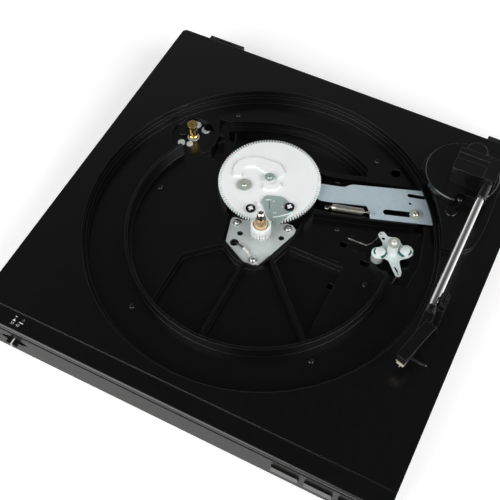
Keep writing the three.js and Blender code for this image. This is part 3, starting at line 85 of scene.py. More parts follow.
class Nodes:
    """Short calls for building one material's node tree."""

    def __init__(self, material):
        self.material = material
        self.tree = material.node_tree
        self.shader = self.tree.nodes["Principled BSDF"]
        self.place = self.add("ShaderNodeTexCoord").outputs["Object"]

    def add(self, kind, **values):
        node = self.tree.nodes.new(kind)
        for key, value in values.items():
            setattr(node, key, value)
        return node

    def link(self, source, target):
        self.tree.links.new(source, target)

    def feed(self, source, name):
        """Links a source to one of the shader's own sockets."""
        self.link(source, self.shader.inputs[name])

    def value(self, name, amount):
        self.shader.inputs[name].default_value = amount

    def colour(self):
        """The source that now feeds the shader's colour."""
        return self.shader.inputs["Base Color"].links[0].from_socket

    def noise(self, size_mm, detail=2.0, roughness=0.55, stretch=None):
        """Noise whose features are about size_mm across."""
        node = self.add("ShaderNodeTexNoise")
        node.inputs["Scale"].default_value = 1.0 / (size_mm * MM)
        node.inputs["Detail"].default_value = detail
        node.inputs["Roughness"].default_value = roughness
        if stretch:
            mapping = self.add("ShaderNodeMapping")
            mapping.inputs["Scale"].default_value = stretch
            self.link(self.place, mapping.inputs["Vector"])
            self.link(mapping.outputs["Vector"], node.inputs["Vector"])
        else:
            self.link(self.place, node.inputs["Vector"])
        return node.outputs["Fac"]

    def ramp(self, source, stops):
        node = self.add("ShaderNodeValToRGB")
        elements = node.color_ramp.elements
        while len(elements) < len(stops):
            elements.new(0.5)
        for element, (place, colour) in zip(elements, stops):
            element.position = place
            element.color = (*colour, 1.0)
        self.link(source, node.inputs["Fac"])
        return node.outputs["Color"]

    def drift(self, source, colour, vary):
        """The colour, a little darker and lighter from place to place."""
        return self.ramp(source, [(0.3, shade(colour, 1 - vary)), (0.7, shade(colour, 1 + vary))])

    def spread(self, source, low, high, start=0.3, end=0.7):
        node = self.add("ShaderNodeMapRange")
        node.inputs["To Min"].default_value = low
        node.inputs["To Max"].default_value = high
        node.inputs["From Min"].default_value = start
        node.inputs["From Max"].default_value = end
        self.link(source, node.inputs["Value"])
        return node.outputs["Result"]

    def compare(self, operation, source, *numbers):
        """1 where the source passes the comparison with the numbers, 0 elsewhere."""
        node = self.add("ShaderNodeMath", operation=operation)
        self.link(source, node.inputs[0])
        for index, number in enumerate(numbers, start=1):
            node.inputs[index].default_value = number
        return node.outputs["Value"]

    def times(self, one, other):
        node = self.add("ShaderNodeMath", operation="MULTIPLY")
        self.link(one, node.inputs[0])
        self.link(other, node.inputs[1])
        return node.outputs["Value"]

    def mixed(self, share, base, over):
        node = self.add("ShaderNodeMix", data_type="RGBA")
        self.link(share, node.inputs["Factor"])
        for socket, colour in ((node.inputs["A"], base), (node.inputs["B"], over)):
            if isinstance(colour, tuple):
                socket.default_value = (*colour, 1.0)
            else:
                self.link(colour, socket)
        return node.outputs["Result"]

    def axis(self, name):
        split = self.add("ShaderNodeSeparateXYZ")
        self.link(self.place, split.inputs["Vector"])
        return split.outputs[name]

    def rounding(self, radius_mm):
        """Normals that turn over an edge, as on a real moulding or a tumbled sheet."""
        node = self.add("ShaderNodeBevel", samples=6)
        node.inputs["Radius"].default_value = radius_mm * MM
        return node.outputs["Normal"]

    def edges(self, rounded, end=0.8):
        """1 along the edges that rounding turns, 0 on the flats."""
        geometry = self.add("ShaderNodeNewGeometry")
        dot = self.add("ShaderNodeVectorMath", operation="DOT_PRODUCT")
        self.link(rounded, dot.inputs[0])
        self.link(geometry.outputs["Normal"], dot.inputs[1])
        return self.spread(dot.outputs["Value"], 0.0, 1.0, 0.995, end)

    def bump(self, source, height_mm, strength=1.0, normal=None):
        node = self.add("ShaderNodeBump")
        node.inputs["Strength"].default_value = strength
        node.inputs["Distance"].default_value = height_mm * MM
        self.link(source, node.inputs["Height"])
        if normal:
            self.link(normal, node.inputs["Normal"])
        self.feed(node.outputs["Normal"], "Normal")


def fresh(name):
    material = bpy.data.materials.new(name)
    material.use_nodes = True
    return Nodes(material)


def shade(colour, factor):
    return tuple(min(c * factor, 1.0) for c in colour)


def moulded(name, colour, roughness=0.36, grain=0.35, height=0.02, vary=0.06, edge=0.4,
            edge_wear_and_sheen=None, wear_and_sheen_low=0.15, specular=0.5):
    """Moulded plastic: fine spark-eroded grain, slow tone drift, and edges painted lighter in patches: a
    painted highlight, with a little wear.
    """
    n = fresh(name)
    n.value("Specular IOR Level", specular)
    base = n.drift(n.noise(60, 2.0), colour, vary)
    rounded = n.rounding(edge)
    # Patchy lighter edges: mostly a painted highlight where edges catch light, partly wear.
    wear_and_sheen_share = n.times(n.edges(rounded), n.spread(n.noise(7, 4.0, 0.65), wear_and_sheen_low, 1.0, 0.42, 0.68))
    n.feed(n.mixed(wear_and_sheen_share, base, edge_wear_and_sheen or shade(colour, 3.0)), "Base Color")
    n.feed(n.spread(n.noise(5, 3.0), roughness - 0.015, roughness + 0.02), "Roughness")
    n.bump(n.noise(grain, 2.0), height, 0.3, rounded)
    return n.material


def plated(name, colour, roughness=0.4, metallic=0.5, vary=0.05, edge=0.25):
    """Plated sheet metal: cloudy zinc spangle, fine grain, and edges painted lighter as a painted highlight.
    """
    n = fresh(name)
    dark, light = shade(colour, 1 - vary), shade(colour, 1 + vary)
    base = n.ramp(n.noise(6.5, 5.0, 0.6), [(0.3, dark), (0.55, colour), (0.75, light)])
    rounded = n.rounding(edge)
    # Edges painted lighter than the sheet: a painted highlight where the sheared edges catch light.
    n.feed(n.mixed(n.edges(rounded), base, shade(colour, 1.35)), "Base Color")
    n.feed(n.spread(n.noise(2.2, 5.0), roughness - 0.05, roughness + 0.06), "Roughness")
    n.value("Metallic", metallic)
    n.bump(n.noise(0.5, 3.0, 0.6), 0.005, 0.25, rounded)
    return n.material


def polished(name, colour, roughness=0.1, metallic=1.0, lines=(1.0, 1.0, 14.0), edge=0.15):
    """Turned or drawn metal with fine lines along the tool's path."""
    n = fresh(name)
    n.feed(n.drift(n.noise(3.0, 3.0), colour, 0.04), "Base Color")
    n.feed(n.spread(n.noise(0.9, 4.0, 0.6, stretch=lines), max(roughness - 0.03, 0.02), roughness + 0.04),
           "Roughness")
    n.value("Metallic", metallic)
    n.bump(n.noise(0.35, 2.0, 0.5, stretch=lines), 0.002, 0.2, n.rounding(edge))
    return n.material


def acetal(name, colour=(0.78, 0.80, 0.795), roughness=0.4, edge=0.2):
    """White acetal: light goes a little way in, faint flow marks."""
    n = fresh(name)
    n.feed(n.drift(n.noise(18, 3.0), colour, 0.02), "Base Color")
    n.feed(n.spread(n.noise(4.0, 3.0), roughness - 0.04, roughness + 0.05), "Roughness")
    n.value("Subsurface Weight", 0.10)
    n.value("Subsurface Scale", 0.003)
    n.value("Specular IOR Level", 0.4)
    n.bump(n.noise(0.8, 2.0), 0.005, 0.2, n.rounding(edge) if edge else None)
    return n.material


def printed(name, colour, roughness=0.5):
    """Pad-printed ink: slightly uneven cover."""
    n = fresh(name)
    n.feed(n.drift(n.noise(0.6, 3.0), colour, 0.1), "Base Color")
    n.feed(n.spread(n.noise(0.4, 2.0), roughness - 0.05, roughness + 0.05), "Roughness")
    n.bump(n.noise(0.2, 2.0), 0.003, 0.3)
    return n.material


def grey(level):
    return (level, level, level)


BLACK = (0.0021, 0.0021, 0.0022)
ARM_BLACK = (0.0028, 0.0028, 0.003)
# The edge colours below are painted highlights along the edges, with a little wear.
deck_black = moulded("deck_black", BLACK, 0.24, grain=0.4, height=0.005, edge=0.55, edge_wear_and_sheen=grey(0.0038))
tray_black = moulded("tray_black", (0.005, 0.005, 0.0052), 0.5, grain=0.6, height=0.05, edge=0.5)
# The fascia's grey colour, with its specular turned down, is partly a painted reflection of the pale floor in
# front.
fascia_reflection_grey = moulded("fascia_reflection_grey", (0.0115, 0.012, 0.0108), height=0.012, edge=0.3, specular=0.085)
control_black = moulded("control_black", grey(0.004), 0.3, grain=0.4, height=0.01, edge=0.35)
selector_black = moulded("selector_black", grey(0.0025), 0.45, height=0.01, edge=0.35, specular=0.2)
# The arm's edges and the ribs' crests get a strong pale painted highlight.
arm_black = moulded("arm_black", ARM_BLACK, 0.25, grain=0.3, height=0.006, edge=0.45,
                    edge_wear_and_sheen=(0.07, 0.07, 0.071), wear_and_sheen_low=0.55)
rib_black = moulded("rib_black", ARM_BLACK, 0.25, grain=0.3, height=0.004, edge=0.35,
                    edge_wear_and_sheen=(0.15, 0.15, 0.152), wear_and_sheen_low=0.7)
turret_black = moulded("turret_black", (0.0022, 0.0022, 0.0023), 0.22, height=0.005, edge_wear_and_sheen=grey(0.01))
cap_black = moulded("cap_black", grey(0.004), 0.34, grain=0.3, height=0.01, edge=0.2)
wire_black = moulded("wire_black", grey(0.006), 0.45, grain=0.25, height=0.01, edge=0.1)
rubber_black = moulded("rubber_black", (0.007, 0.007, 0.0072), 0.78, grain=0.5, height=0.04, edge=0.5)
screw_black = moulded("screw_black", grey(0.006), 0.22, grain=0.3, height=0.006, edge=0.15)
# Near-black with hardly any reflection: painted shade for bores, gaps, notches and shaded spots.
shade_black = moulded("shade_black", grey(0.0012), 0.7, height=0.005, edge=0.1, specular=0.05)
cartridge_beige = moulded("cartridge_beige", (0.56, 0.50, 0.40), 0.48, grain=0.5, height=0.01,
                          edge_wear_and_sheen=(0.62, 0.57, 0.48))
zinc_plate = plated("zinc_plate", (0.61, 0.66, 0.65), 0.38, 0.4)
slide_zinc = plated("slide_zinc", (0.55, 0.67, 0.73), 0.38, 0.4)
lever_zinc = plated("lever_zinc", (0.72, 0.80, 0.80), 0.38, 0.3)
dull_zinc = plated("dull_zinc", (0.38, 0.475, 0.45), 0.45, 0.4)
washer_zinc = plated("washer_zinc", (0.43, 0.48, 0.42), 0.4, 0.35, vary=0.1)
hub_zinc = plated("hub_zinc", (0.36, 0.47, 0.44), 0.36, 0.5, vary=0.1)
stud_zinc = plated("stud_zinc", (0.52, 0.56, 0.56), 0.42, 0.3, vary=0.2)
tin = plated("tin", (0.80, 0.79, 0.75), 0.32, 0.45, vary=0.1)
# Pale zinc for the pawl's pressed marks: a painted highlight on the raised marks.
stamped_highlight = plated("stamped_highlight", (0.86, 0.93, 0.91), 0.3, 0.1)
leaf_metal = plated("leaf_metal", (0.30, 0.29, 0.27), 0.3, 0.8)
screw_steel = polished("screw_steel", (0.74, 0.75, 0.74), 0.22)
spindle_steel = polished("spindle_steel", (0.62, 0.60, 0.56), 0.07, lines=(1.0, 1.0, 20.0))
spring_steel = polished("spring_steel", (0.62, 0.59, 0.54), 0.28, edge=0.05)
tube_chrome = polished("tube_chrome", (0.86, 0.86, 0.85), 0.14, lines=(12.0, 1.0, 12.0))
pulley_brass = polished("pulley_brass", (0.90, 0.60, 0.22), 0.2, lines=(1.0, 1.0, 18.0))
bush_brass = polished("bush_brass", (0.86, 0.66, 0.40), 0.3, metallic=0.85)
white_acetal = acetal("white_acetal")
gear_acetal = acetal("gear_acetal", edge=0.0)
cap_white = acetal("cap_white", (0.70, 0.76, 0.755), 0.3)
# White acetal painted grey for the lever's spacer: painted shade.
spacer_painted_shade = acetal("spacer_painted_shade", (0.36, 0.38, 0.375), 0.35)
ink_white = printed("ink_white", (0.62, 0.62, 0.63))
faint_grey = printed("faint_grey", (0.50, 0.55, 0.54))
teal = printed("teal", (0.003, 0.085, 0.075), 0.35)


def selector_line():
    """A pale line down the middle of the selector's grip."""
    middle, half = -141.4 * MM, 0.65 * MM
    height, reach = 31.5 * MM, 2.5 * MM
    n = Nodes(selector_black)
    inside = n.times(n.compare("COMPARE", n.axis("X"), middle, half),
                     n.compare("COMPARE", n.axis("Z"), height, reach))
    n.feed(n.mixed(inside, n.colour(), (0.55, 0.55, 0.54)), "Base Color")


def cartridge_front():
    """Keeps the beige at the cartridge's lower front; its back and its top are black."""
    front_depth, top_depth = 4.0 * MM, 6.0 * MM
    points = [v.co for v in NODES["cartridge"].data.vertices]
    shell = [v.co for v in NODES["headshell"].data.vertices]
    along = middle_of(points) - middle_of(shell)
    along.z = 0
    along.normalize()
    front = max(p.dot(along) for p in points)
    top = max(p.z for p in points)
    n = Nodes(cartridge_beige)
    reach = n.add("ShaderNodeVectorMath", operation="DOT_PRODUCT")
    reach.inputs[1].default_value = along
    n.link(n.place, reach.inputs[0])
    inside = n.times(n.compare("GREATER_THAN", reach.outputs["Value"], front - front_depth),
                     n.compare("LESS_THAN", n.axis("Z"), top - top_depth))
    n.feed(n.mixed(inside, grey(0.003), n.colour()), "Base Color")


def middle_of(points):
    return sum(points, Vector()) / len(points)


selector_line()
cartridge_front()

WELD_REACH = 0.004 * MM
SHARP = math.radians(30)


def refine(node, material):
    """A CAD node keeps its mesh, and gets its finish, smooth rounds and crisp edges."""
    piece = NODES[node]
    piece.data.materials.clear()
    piece.data.materials.append(material)
    for face in piece.data.polygons:
        face.use_smooth = True
    if "custom_normal" in piece.data.attributes:
        piece.data.attributes.remove(piece.data.attributes["custom_normal"])
    piece.modifiers.new("weld", "WELD").merge_threshold = WELD_REACH
    piece.modifiers.new("crisp", "EDGE_SPLIT").split_angle = SHARP


FINISHES = [
    (deck_black, ["top_deck"]),
    (tray_black, ["base_tray", "hinge_socket_left", "hinge_socket_right"]),
    (fascia_reflection_grey, ["front_fascia"]),
    (control_black, ["start_button", "stop_button", "lift_button"]),
    (selector_black, ["speed_selector"]),
    (rubber_black, ["foot_front_left", "foot_front_right", "foot_back_left", "foot_back_right"]),
    (arm_black, ["arm_housing", "arm_block", "headshell", "arm_rest", "rest_clip", "lift_pin"]),
    (rib_black, ["arm_ribbed_back"]),
    (turret_black, ["arm_base", "adjust_cap", "finger_lift"]),
    (zinc_plate, ["bearing_plate"]),
    (slide_zinc, ["slide_plate"]),
    (lever_zinc, ["cross_lever"]),
    (dull_zinc, ["trip_pawl"]),
    (washer_zinc, ["gear_side_washer", "slide_washer", "lever_washer", "motor_washer"]),
    (screw_steel, ["gear_screw", "gear_side_screw", "slide_screw", "lever_screw",
                   "plate_screw_left", "plate_screw_right", "plate_screw_front"]),
    (tin, ["ground_terminal"]),
    (stud_zinc, ["motor"]),
    (spindle_steel, ["spindle"]),
    (spring_steel, ["return_spring", "click_spring", "link_wire"]),
    (wire_black, ["ground_wire"]),
    (tube_chrome, ["arm_tube"]),
    (pulley_brass, ["motor_pulley"]),
    (bush_brass, ["spindle_bush"]),
    (white_acetal, ["cam_gear", "pinion"]),
    (cap_white, ["lever_disc_left", "lever_disc_right"]),
    (spacer_painted_shade, ["lever_spacer"]),
    (cap_black, ["gear_cap_left", "gear_cap_right"]),
    (cartridge_beige, ["cartridge", "stylus"]),
]
for material, names in FINISHES:
    for name in names:
        refine(name, material)


# Small pieces


class Shape:
    """Closed meshes built ring by ring, in millimetres from the spindle and the deck's top face."""

    def __init__(self):
        self.points = []
        self.faces = []

    def skin(self, low, high, count):
        """Faces between two rings of points."""
        for j in range(count):
            k = (j + 1) % count
            self.faces.append((low + j, low + k, high + k, high + j))

    def loft(self, rings):
        start, count = len(self.points), len(rings[0])
        for ring in rings:
            self.points.extend(ring)
        for i in range(len(rings) - 1):
            self.skin(start + i * count, start + (i + 1) * count, count)
        self.faces.append(tuple(range(start + count - 1, start - 1, -1)))
        end = start + (len(rings) - 1) * count
        self.faces.append(tuple(range(end, end + count)))
        return self

    def prism(self, outline, low, high):
        return self.loft([[(x, y, z) for x, y in outline] for z in (low, high)])

    def lathe(self, profile, place=(0, 0), sides=28):
        return self.loft(revolved(profile, place, sides))

    def ring(self, profile, place, sides):
        """A closed profile turned round an axis, as for a washer."""
        rings = revolved(profile, place, sides)
        start = len(self.points)
        for ring in rings:
            self.points.extend(ring)
        for i in range(len(rings)):
            self.skin(start + i * sides, start + (i + 1) % len(rings) * sides, sides)
        return self

    def arc(self, place, inner, outer, start, end, low, high, steps=14):
        x, y = place
        angles = [math.radians(start + (end - start) * i / steps) for i in range(steps + 1)]
        outline = [(x + outer * math.cos(a), y + outer * math.sin(a)) for a in angles]
        outline += [(x + inner * math.cos(a), y + inner * math.sin(a)) for a in reversed(angles)]
        return self.prism(outline, low, high)

    def stadium(self, start, end, radius, low, high):
        """A slot with round ends."""
        (x0, y0), (x1, y1) = start, end
        way = math.atan2(y1 - y0, x1 - x0)
        outline = []
        for x, y, turn in ((x1, y1, way - math.pi / 2), (x0, y0, way + math.pi / 2)):
            angles = [turn + math.pi * i / 10 for i in range(11)]
            outline += [(x + radius * math.cos(a), y + radius * math.sin(a)) for a in angles]
        return self.prism(outline, low, high)

    def stroke(self, line, width, low, high):
        """A printed or pressed line of straight pieces."""
        for (x0, y0), (x1, y1) in zip(line, line[1:]):
            length = math.hypot(x1 - x0, y1 - y0)
            u, v = (x1 - x0) / length * width / 2, (y1 - y0) / length * width / 2
            self.prism([(x0 - u + v, y0 - v - u), (x1 + u + v, y1 + v - u),
                        (x1 + u - v, y1 + v + u), (x0 - u - v, y0 - v + u)], low, high)
        return self

    def tube(self, path, radius, sides=8):
        path = [Vector(p) for p in path]
        last = len(path) - 1
        ahead = [(path[min(i + 1, last)] - path[max(i - 1, 0)]).normalized() for i in range(len(path))]
        side = ahead[0].orthogonal().normalized()
        rings = []
        for point, way in zip(path, ahead):
            side = (side - way * side.dot(way)).normalized()
            other = way.cross(side)
            rings.append([tuple(point + radius * (math.cos(a) * side + math.sin(a) * other))
                          for a in turns(sides)])
        return self.loft(rings)

    def mesh(self, name, local=False):
        data = bpy.data.meshes.new(name)
        points = [Vector(p) * MM for p in self.points] if local else [at(*p) for p in self.points]
        data.from_pydata(points, [], self.faces)
        build = bmesh.new()
        build.from_mesh(data)
        bmesh.ops.recalc_face_normals(build, faces=build.faces)
        build.to_mesh(data)
        build.free()
        return data


def turns(sides):
    return [2 * math.pi * i / sides for i in range(sides)]


def revolved(profile, place, sides):
    x, y = place
    return [[(x + r * math.cos(a), y + r * math.sin(a), z) for a in turns(sides)] for r, z in profile]


CREASE = math.radians(35)


def piece_of(name, data, material, body, soft=0.0):
    for face in data.polygons:
        face.use_smooth = True
    data.set_sharp_from_angle(angle=CREASE)
    data.materials.clear()
    data.materials.append(material)
    piece = bpy.data.objects.new(name, data)
    bpy.context.scene.collection.objects.link(piece)
    if soft:
        edge = piece.modifiers.new("soft", "BEVEL")
        edge.width = soft * MM
        edge.segments = 2
        edge.limit_method = "ANGLE"
        edge.angle_limit = CREASE
    if body:
        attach(piece, body)
    return piece


def carved(head, cutter, name):
    """One mesh cut by another."""
    block = bpy.data.objects.new(name, head)
    tool = bpy.data.objects.new(name + "_tool", cutter)
    for item in (block, tool):
        bpy.context.scene.collection.objects.link(item)
    cut = block.modifiers.new("cut", "BOOLEAN")
    cut.operation = "DIFFERENCE"
    cut.object = tool
    cut.solver = "EXACT"
    bpy.context.view_layer.update()
    whole = block.evaluated_get(bpy.context.evaluated_depsgraph_get())
    result = bpy.data.meshes.new_from_object(whole)
    result.name = name
    for item in (block, tool):
        bpy.data.objects.remove(item)
    return result


def recut(node, cutter, material, body):
    """A plate of the CAD with openings that the photograph shows larger."""
    welded = NODES[node].data.copy()
    build = bmesh.new()
    build.from_mesh(welded)
    bmesh.ops.remove_doubles(build, verts=build.verts, dist=WELD_REACH)
    build.to_mesh(welded)
    build.free()
    name = node + "_cut"
    piece = piece_of(name, carved(welded, cutter.mesh("cutter"), name), material, body)
    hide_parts(node)


def screw_head(radius, height, flange=0.0):
    """A domed pan head with a cross recess, seated on its own origin."""
    dome = [(radius, 0), (radius, height * 0.3), (radius * 0.93, height * 0.62),
            (radius * 0.72, height * 0.88), (radius * 0.4, height), (radius * 0.1, height * 1.02)]
    if flange:
        dome[:1] = [(flange, 0), (flange, 0.35), (flange - 0.25, 0.5), (radius, 0.52)]
    head = Shape().lathe(dome).mesh("head", local=True)
    reach, half = radius * 0.58, radius * 0.13
    plus = [(reach, -half), (reach, half), (half, half), (half, reach), (-half, reach), (-half, half),
            (-reach, half), (-reach, -half), (-half, -half), (-half, -reach), (half, -reach), (half, -half)]
    levels = ((0.45, height * 0.5), (1.0, height * 1.3))
    cross = Shape().loft([[(x * s, y * s, z) for x, y in plus] for s, z in levels])
    return carved(head, cross.mesh("cross", local=True), "screw_head")


def set_screws(stem, places, z, head, material, flip=False):
    """Equal screws on the base, each turned differently."""
    for index, (x, y) in enumerate(places):
        turn = Matrix.Rotation(math.radians(37 * index + 11), 4, "Z")
        if flip:
            turn = Matrix.Rotation(math.pi, 4, "X") @ turn
        screw = piece_of("%s_%d" % (stem, index + 1), head.copy(), material, None)
        screw.matrix_world = Matrix.Translation(at(x, y, z)) @ turn
        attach(screw, "base")


FLOOR_SCREWS = [(-63.0, -110.6), (88.7, -89.5), (-78.5, 110.0), (59.5, 117.7), (-102.5, 4.3)]
POCKET_SCREWS = [(98.9, -2.5), (55.3, 38.4), (34.9, 85.8)]
TRAY_SCREWS = [(x, y) for x in (-157.7, 8.3, 174.3) for y in (-161.0, 161.5)]
small_head = screw_head(2.5, 1.5)
wide_head = screw_head(3.4, 1.9)
set_screws("floor_screw", FLOOR_SCREWS, WELL_FLOOR, small_head, screw_black)
set_screws("pocket_screw", POCKET_SCREWS, POCKET_FLOOR, small_head, screw_black)
set_screws("tray_screw", TRAY_SCREWS, TRAY_LOW, wide_head, screw_steel, flip=True)


DIGITS = {
    "3": [(0, 2), (1.15, 2), (0.5, 1.2), (1.15, 0.85), (1.15, 0.3), (0.8, 0), (0, 0.1)],
    "4": [(0.85, 0), (0.85, 2), (0, 0.65), (1.25, 0.65)],
    "5": [(1.15, 2), (0.1, 2), (0.1, 1.15), (0.8, 1.25), (1.15, 0.9), (1.15, 0.3), (0.8, 0), (0, 0.1)],
}
DIGIT_PITCH = 1.6
DIGIT_SCALE = 0.8
DIGIT_FOOT = -172.3


def deck_marks():
    """The printed speeds, arrows, dash and ring on the deck's front left corner."""
    ink = (0.0, 0.02)
    shape = Shape()
    for x0, text in ((-136.6, "33"), (-131.6, "45")):
        for index, digit in enumerate(text):
            left = x0 + index * DIGIT_PITCH
            line = [(left + x * DIGIT_SCALE, y * DIGIT_SCALE + DIGIT_FOOT) for x, y in DIGITS[digit]]
            shape.stroke(line, 0.3, *ink)
    shape.prism([(-136.7, -169.3), (-133.9, -169.3), (-135.3, -167.2)], *ink)
    shape.stroke([(-136.0, -164.9), (-135.3, -165.7), (-134.6, -164.9)], 0.45, *ink)
    shape.stroke([(-130.3, -168.6), (-127.3, -168.6)], 0.7, *ink)
    ring = [(-128.2 + 0.9 * math.cos(a), -166.0 + 0.9 * math.sin(a)) for a in turns(16)]
    shape.stroke(ring + ring[:1], 0.32, *ink)
    piece_of("deck_marks", shape.mesh("deck_marks"), ink_white, "base")


deck_marks()


# Holes, slots, tooth gaps, screws and washers at the sizes that the photograph shows

GEAR_TEETH = 112
GAP_PHASE = 0.318
GAP_SIDES = ((42.7, -0.55), (46.5, -0.95), (46.5, 0.95), (42.7, 0.55))


def slide_place(u, v):
    """A place on the slide plate, u along its travel from the post and v across it."""
    (x, y), (along, across) = SLIDE_POST, SLIDE_WAY
    return x + along * u - across * v, y + across * u + along * v


def reworked_plates():
    holes = Shape()
    for x, y in ((-17.5, -5.0), (16.6, 6.4)):
        holes.lathe([(2.6, -20), (2.6, -15)], (x, y), 24)
    recut("bearing_plate", holes, zinc_plate, "base")
    slots = Shape()
    slots.stadium(slide_place(-25.0, 0), slide_place(2.0, 0), 3.2, -14, -11)
    slots.stadium(slide_place(-5.6, 20.4), slide_place(45.0, 17.5), 2.2, -14, -11)
    recut("slide_plate", slots, slide_zinc, "slide")
    openings = Shape()
    for x, y, radius in ((92.5, 45.8, 0.9), (96.3, 42.1, 1.5)):
        openings.lathe([(radius, -14), (radius, -11)], (x, y), 16)
    openings.stadium((115.9, 19.5), (119.2, 16.5), 0.9, -14, -11)
    recut("cross_lever", openings, lever_zinc, "lever")
    gaps = Shape()
    x, y = GEAR_CENTRE
    for i in range(GEAR_TEETH):
        way = math.radians(GAP_PHASE + 360.0 * i / GEAR_TEETH)
        u, v = math.cos(way), math.sin(way)
        gaps.prism([(x + r * u - s * v, y + r * v + s * u) for r, s in GAP_SIDES], -12, -2)
    recut("cam_gear", gaps, gear_acetal, "cam")


def fastener(name, node, head, place, z, turn, material, body):
    screw = piece_of(name, head.copy(), material, None)
    turned = Matrix.Rotation(math.radians(turn), 4, "Z")
    screw.matrix_world = Matrix.Translation(at(*place, z)) @ turned
    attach(screw, body)
    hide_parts(node)


def washer(name, node, place, inner, outer, low, high, body):
    profile = [(inner, low), (outer, low), (outer, high - 0.12), (outer - 0.12, high), (inner, high)]
    piece = piece_of(name, Shape().ring(profile, place, 40).mesh(name), washer_zinc, body)
    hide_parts(node)


# The bearing plate's screws: place, foot and the recess's angle; the front one stands on the ground terminal
PLATE_SCREWS = [
    ("left", (-25.0, 3.7), PLATE_TOP, 20),
    ("right", (17.8, 17.5), PLATE_TOP, 52),
    ("front", (4.6, -24.8), PLATE_TOP + 0.9, 35),
]


def fasteners():
    flanged = screw_head(2.7, 1.9, 3.7)
    for side, place, low, turn in PLATE_SCREWS:
        node = "plate_screw_" + side
        fastener(node + "_head", node, flanged, place, low, turn, screw_steel, "base")
    hub = screw_head(2.7, 1.8, 4.3)
    fastener("gear_screw_head", "gear_screw", hub, GEAR_CENTRE, -1.4, 15, hub_zinc, "base")
    side = screw_head(2.3, 1.3)
    fastener("gear_side_screw_head", "gear_side_screw", side, GEAR_WASHER, -4.2, 25, screw_steel, "cam")
    washer("gear_side_washer_wide", "gear_side_washer", GEAR_WASHER, 1.7, 6.4, -4.9, -4.2, "cam")
    pan = screw_head(3.0, 2.0)
    fastener("slide_screw_head", "slide_screw", pan, SLIDE_POST, SLIDE_WASHER_TOP, 40, screw_steel, "base")


def cap_notches():
    """The push-on caps' four notches round the white stud, drawn as black dots: painted shade in the notches.
    """
    for side, node in (("left", "gear_cap_left"), ("right", "gear_cap_right")):
        points = [v.co for v in NODES[node].data.vertices]
        x, y = ((min(p[i] for p in points) + max(p[i] for p in points)) / 2 / MM - SPINDLE[i]
                for i in (0, 1))
        shape = Shape()
        for i in range(4):
            way = math.radians(45 + 90 * i)
            place = (x + 2.45 * math.cos(way), y + 2.45 * math.sin(way))
            shape.lathe([(0.75, -3.5), (0.75, -2.7)], place, 12)
        piece_of("cap_notches_" + side, shape.mesh("notches"), shade_black, "cam")


def motor_details():
    """The ring boss, and a black disc over part of a stud beside the motor pulley: painted shade."""
    low = MOTOR_RECESS
    profile = [(1.3, low), (4.0, low), (4.0, low + 0.8), (3.7, low + 1.1), (1.5, low + 1.1), (1.3, low + 0.9)]
    boss = Shape().ring(profile, MOTOR_BOSS, 32)
    piece_of("motor_boss", boss.mesh("boss"), cap_black, "base")
    # A black disc laid on the stud: painted shade.
    shade_disc = Shape().lathe([(4.1, low), (4.1, low + 0.3)], STUD_SHADE, 32)
    piece_of("stud_painted_shade", shade_disc.mesh("painted_shade_disc"), shade_black, "base")


def fascia_gap_shade():
    """A black strip in the joint between the deck's rounded front edge and the fascia: painted shade in the
    gap.
    """
    left, right, front, back = -171.2, 187.8, -178.14, -177.5
    gap = Shape().prism([(left, front), (right, front), (right, back), (left, back)], -5.7, -3.1)
    piece_of("fascia_gap_shade", gap.mesh("gap"), shade_black, "base")


def lever_boss():
    """The tall nylon boss at the lever's pivot, with its washer and screw on top."""
    foot = LEVER_TOP + 1.0
    profile = [(0.001, LEVER_TOP), (4.7, LEVER_TOP), (4.7, foot), (4.5, foot + 0.2), (4.5, BOSS_TOP),
               (0.001, BOSS_TOP)]
    boss = Shape().lathe(profile, LEVER_BOSS, 36)
    piece_of("lever_boss", boss.mesh("boss"), cap_white, "lever")
    top = BOSS_TOP + 0.7
    washer("lever_boss_washer", "lever_washer", LEVER_BOSS, 1.7, 5.4, BOSS_TOP, top, "lever")
    fastener("lever_boss_screw", "lever_screw", screw_head(2.7, 1.8), LEVER_BOSS, top, 10, tin, "lever")


def motor_pulley():
    """The turned brass pulley: crowned body, upper flange and a bore, with a black plug in the bore as
    painted shade.
    """
    profile = [(0.001, -13.0), (4.4, -13.0), (4.4, -12.2), (3.7, -11.4), (3.9, -7.0), (3.75, -1.0),
               (3.6, 0.8), (4.7, 1.8), (4.85, 2.1), (4.7, 2.5), (1.0, 2.5), (1.0, -0.8), (0.001, -0.8)]
    turned = Shape().lathe(profile, PULLEY_AXIS, 48)
    piece = piece_of("pulley_turned", turned.mesh("pulley"), pulley_brass, "pulley")
    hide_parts("motor_pulley")
    # A black plug in the bore: painted shade.
    bore = Shape().lathe([(0.001, -0.7), (0.95, -0.7), (0.95, 1.2), (0.001, 1.2)], PULLEY_AXIS, 20)
    piece_of("pulley_bore_shade", bore.mesh("bore"), shade_black, "pulley")


def rim_lip():
    """The lip that carries the well's rim over the slide plate's channel."""
    lip = Shape().arc((0, 0), 147.4, 160.0, 24.5, 57.0, -8.0, -6.03, 24)
    piece_of("rim_lip", lip.mesh("rim_lip"), deck_black, "base")


def pinion_collar():
    """The plain collar over the pinion's teeth."""
    profile = [(7.2, -4.0), (8.55, -4.0), (8.7, -3.7), (8.7, 1.6), (8.4, 2.05), (7.2, 2.05)]
    collar = Shape().ring(profile, (0, 0), 56)
    piece_of("pinion_collar", collar.mesh("collar"), white_acetal, "platter_drive")


reworked_plates()
fasteners()
lever_boss()
motor_pulley()
rim_lip()
pinion_collar()
cap_notches()
motor_details()
fascia_gap_shade()


# The lever's raised caps: centre, radius, the teal seals' start and end angles, the mark's angle
CAPS = {
    "left": ((99.2, 27.3), 4.25, [(164, 233), (-61, 20)], -16),
    "right": ((117.5, 37.5), 4.35, [(-148, -79), (-33, 31)], 27),
}
MARK_HALF = 1.7


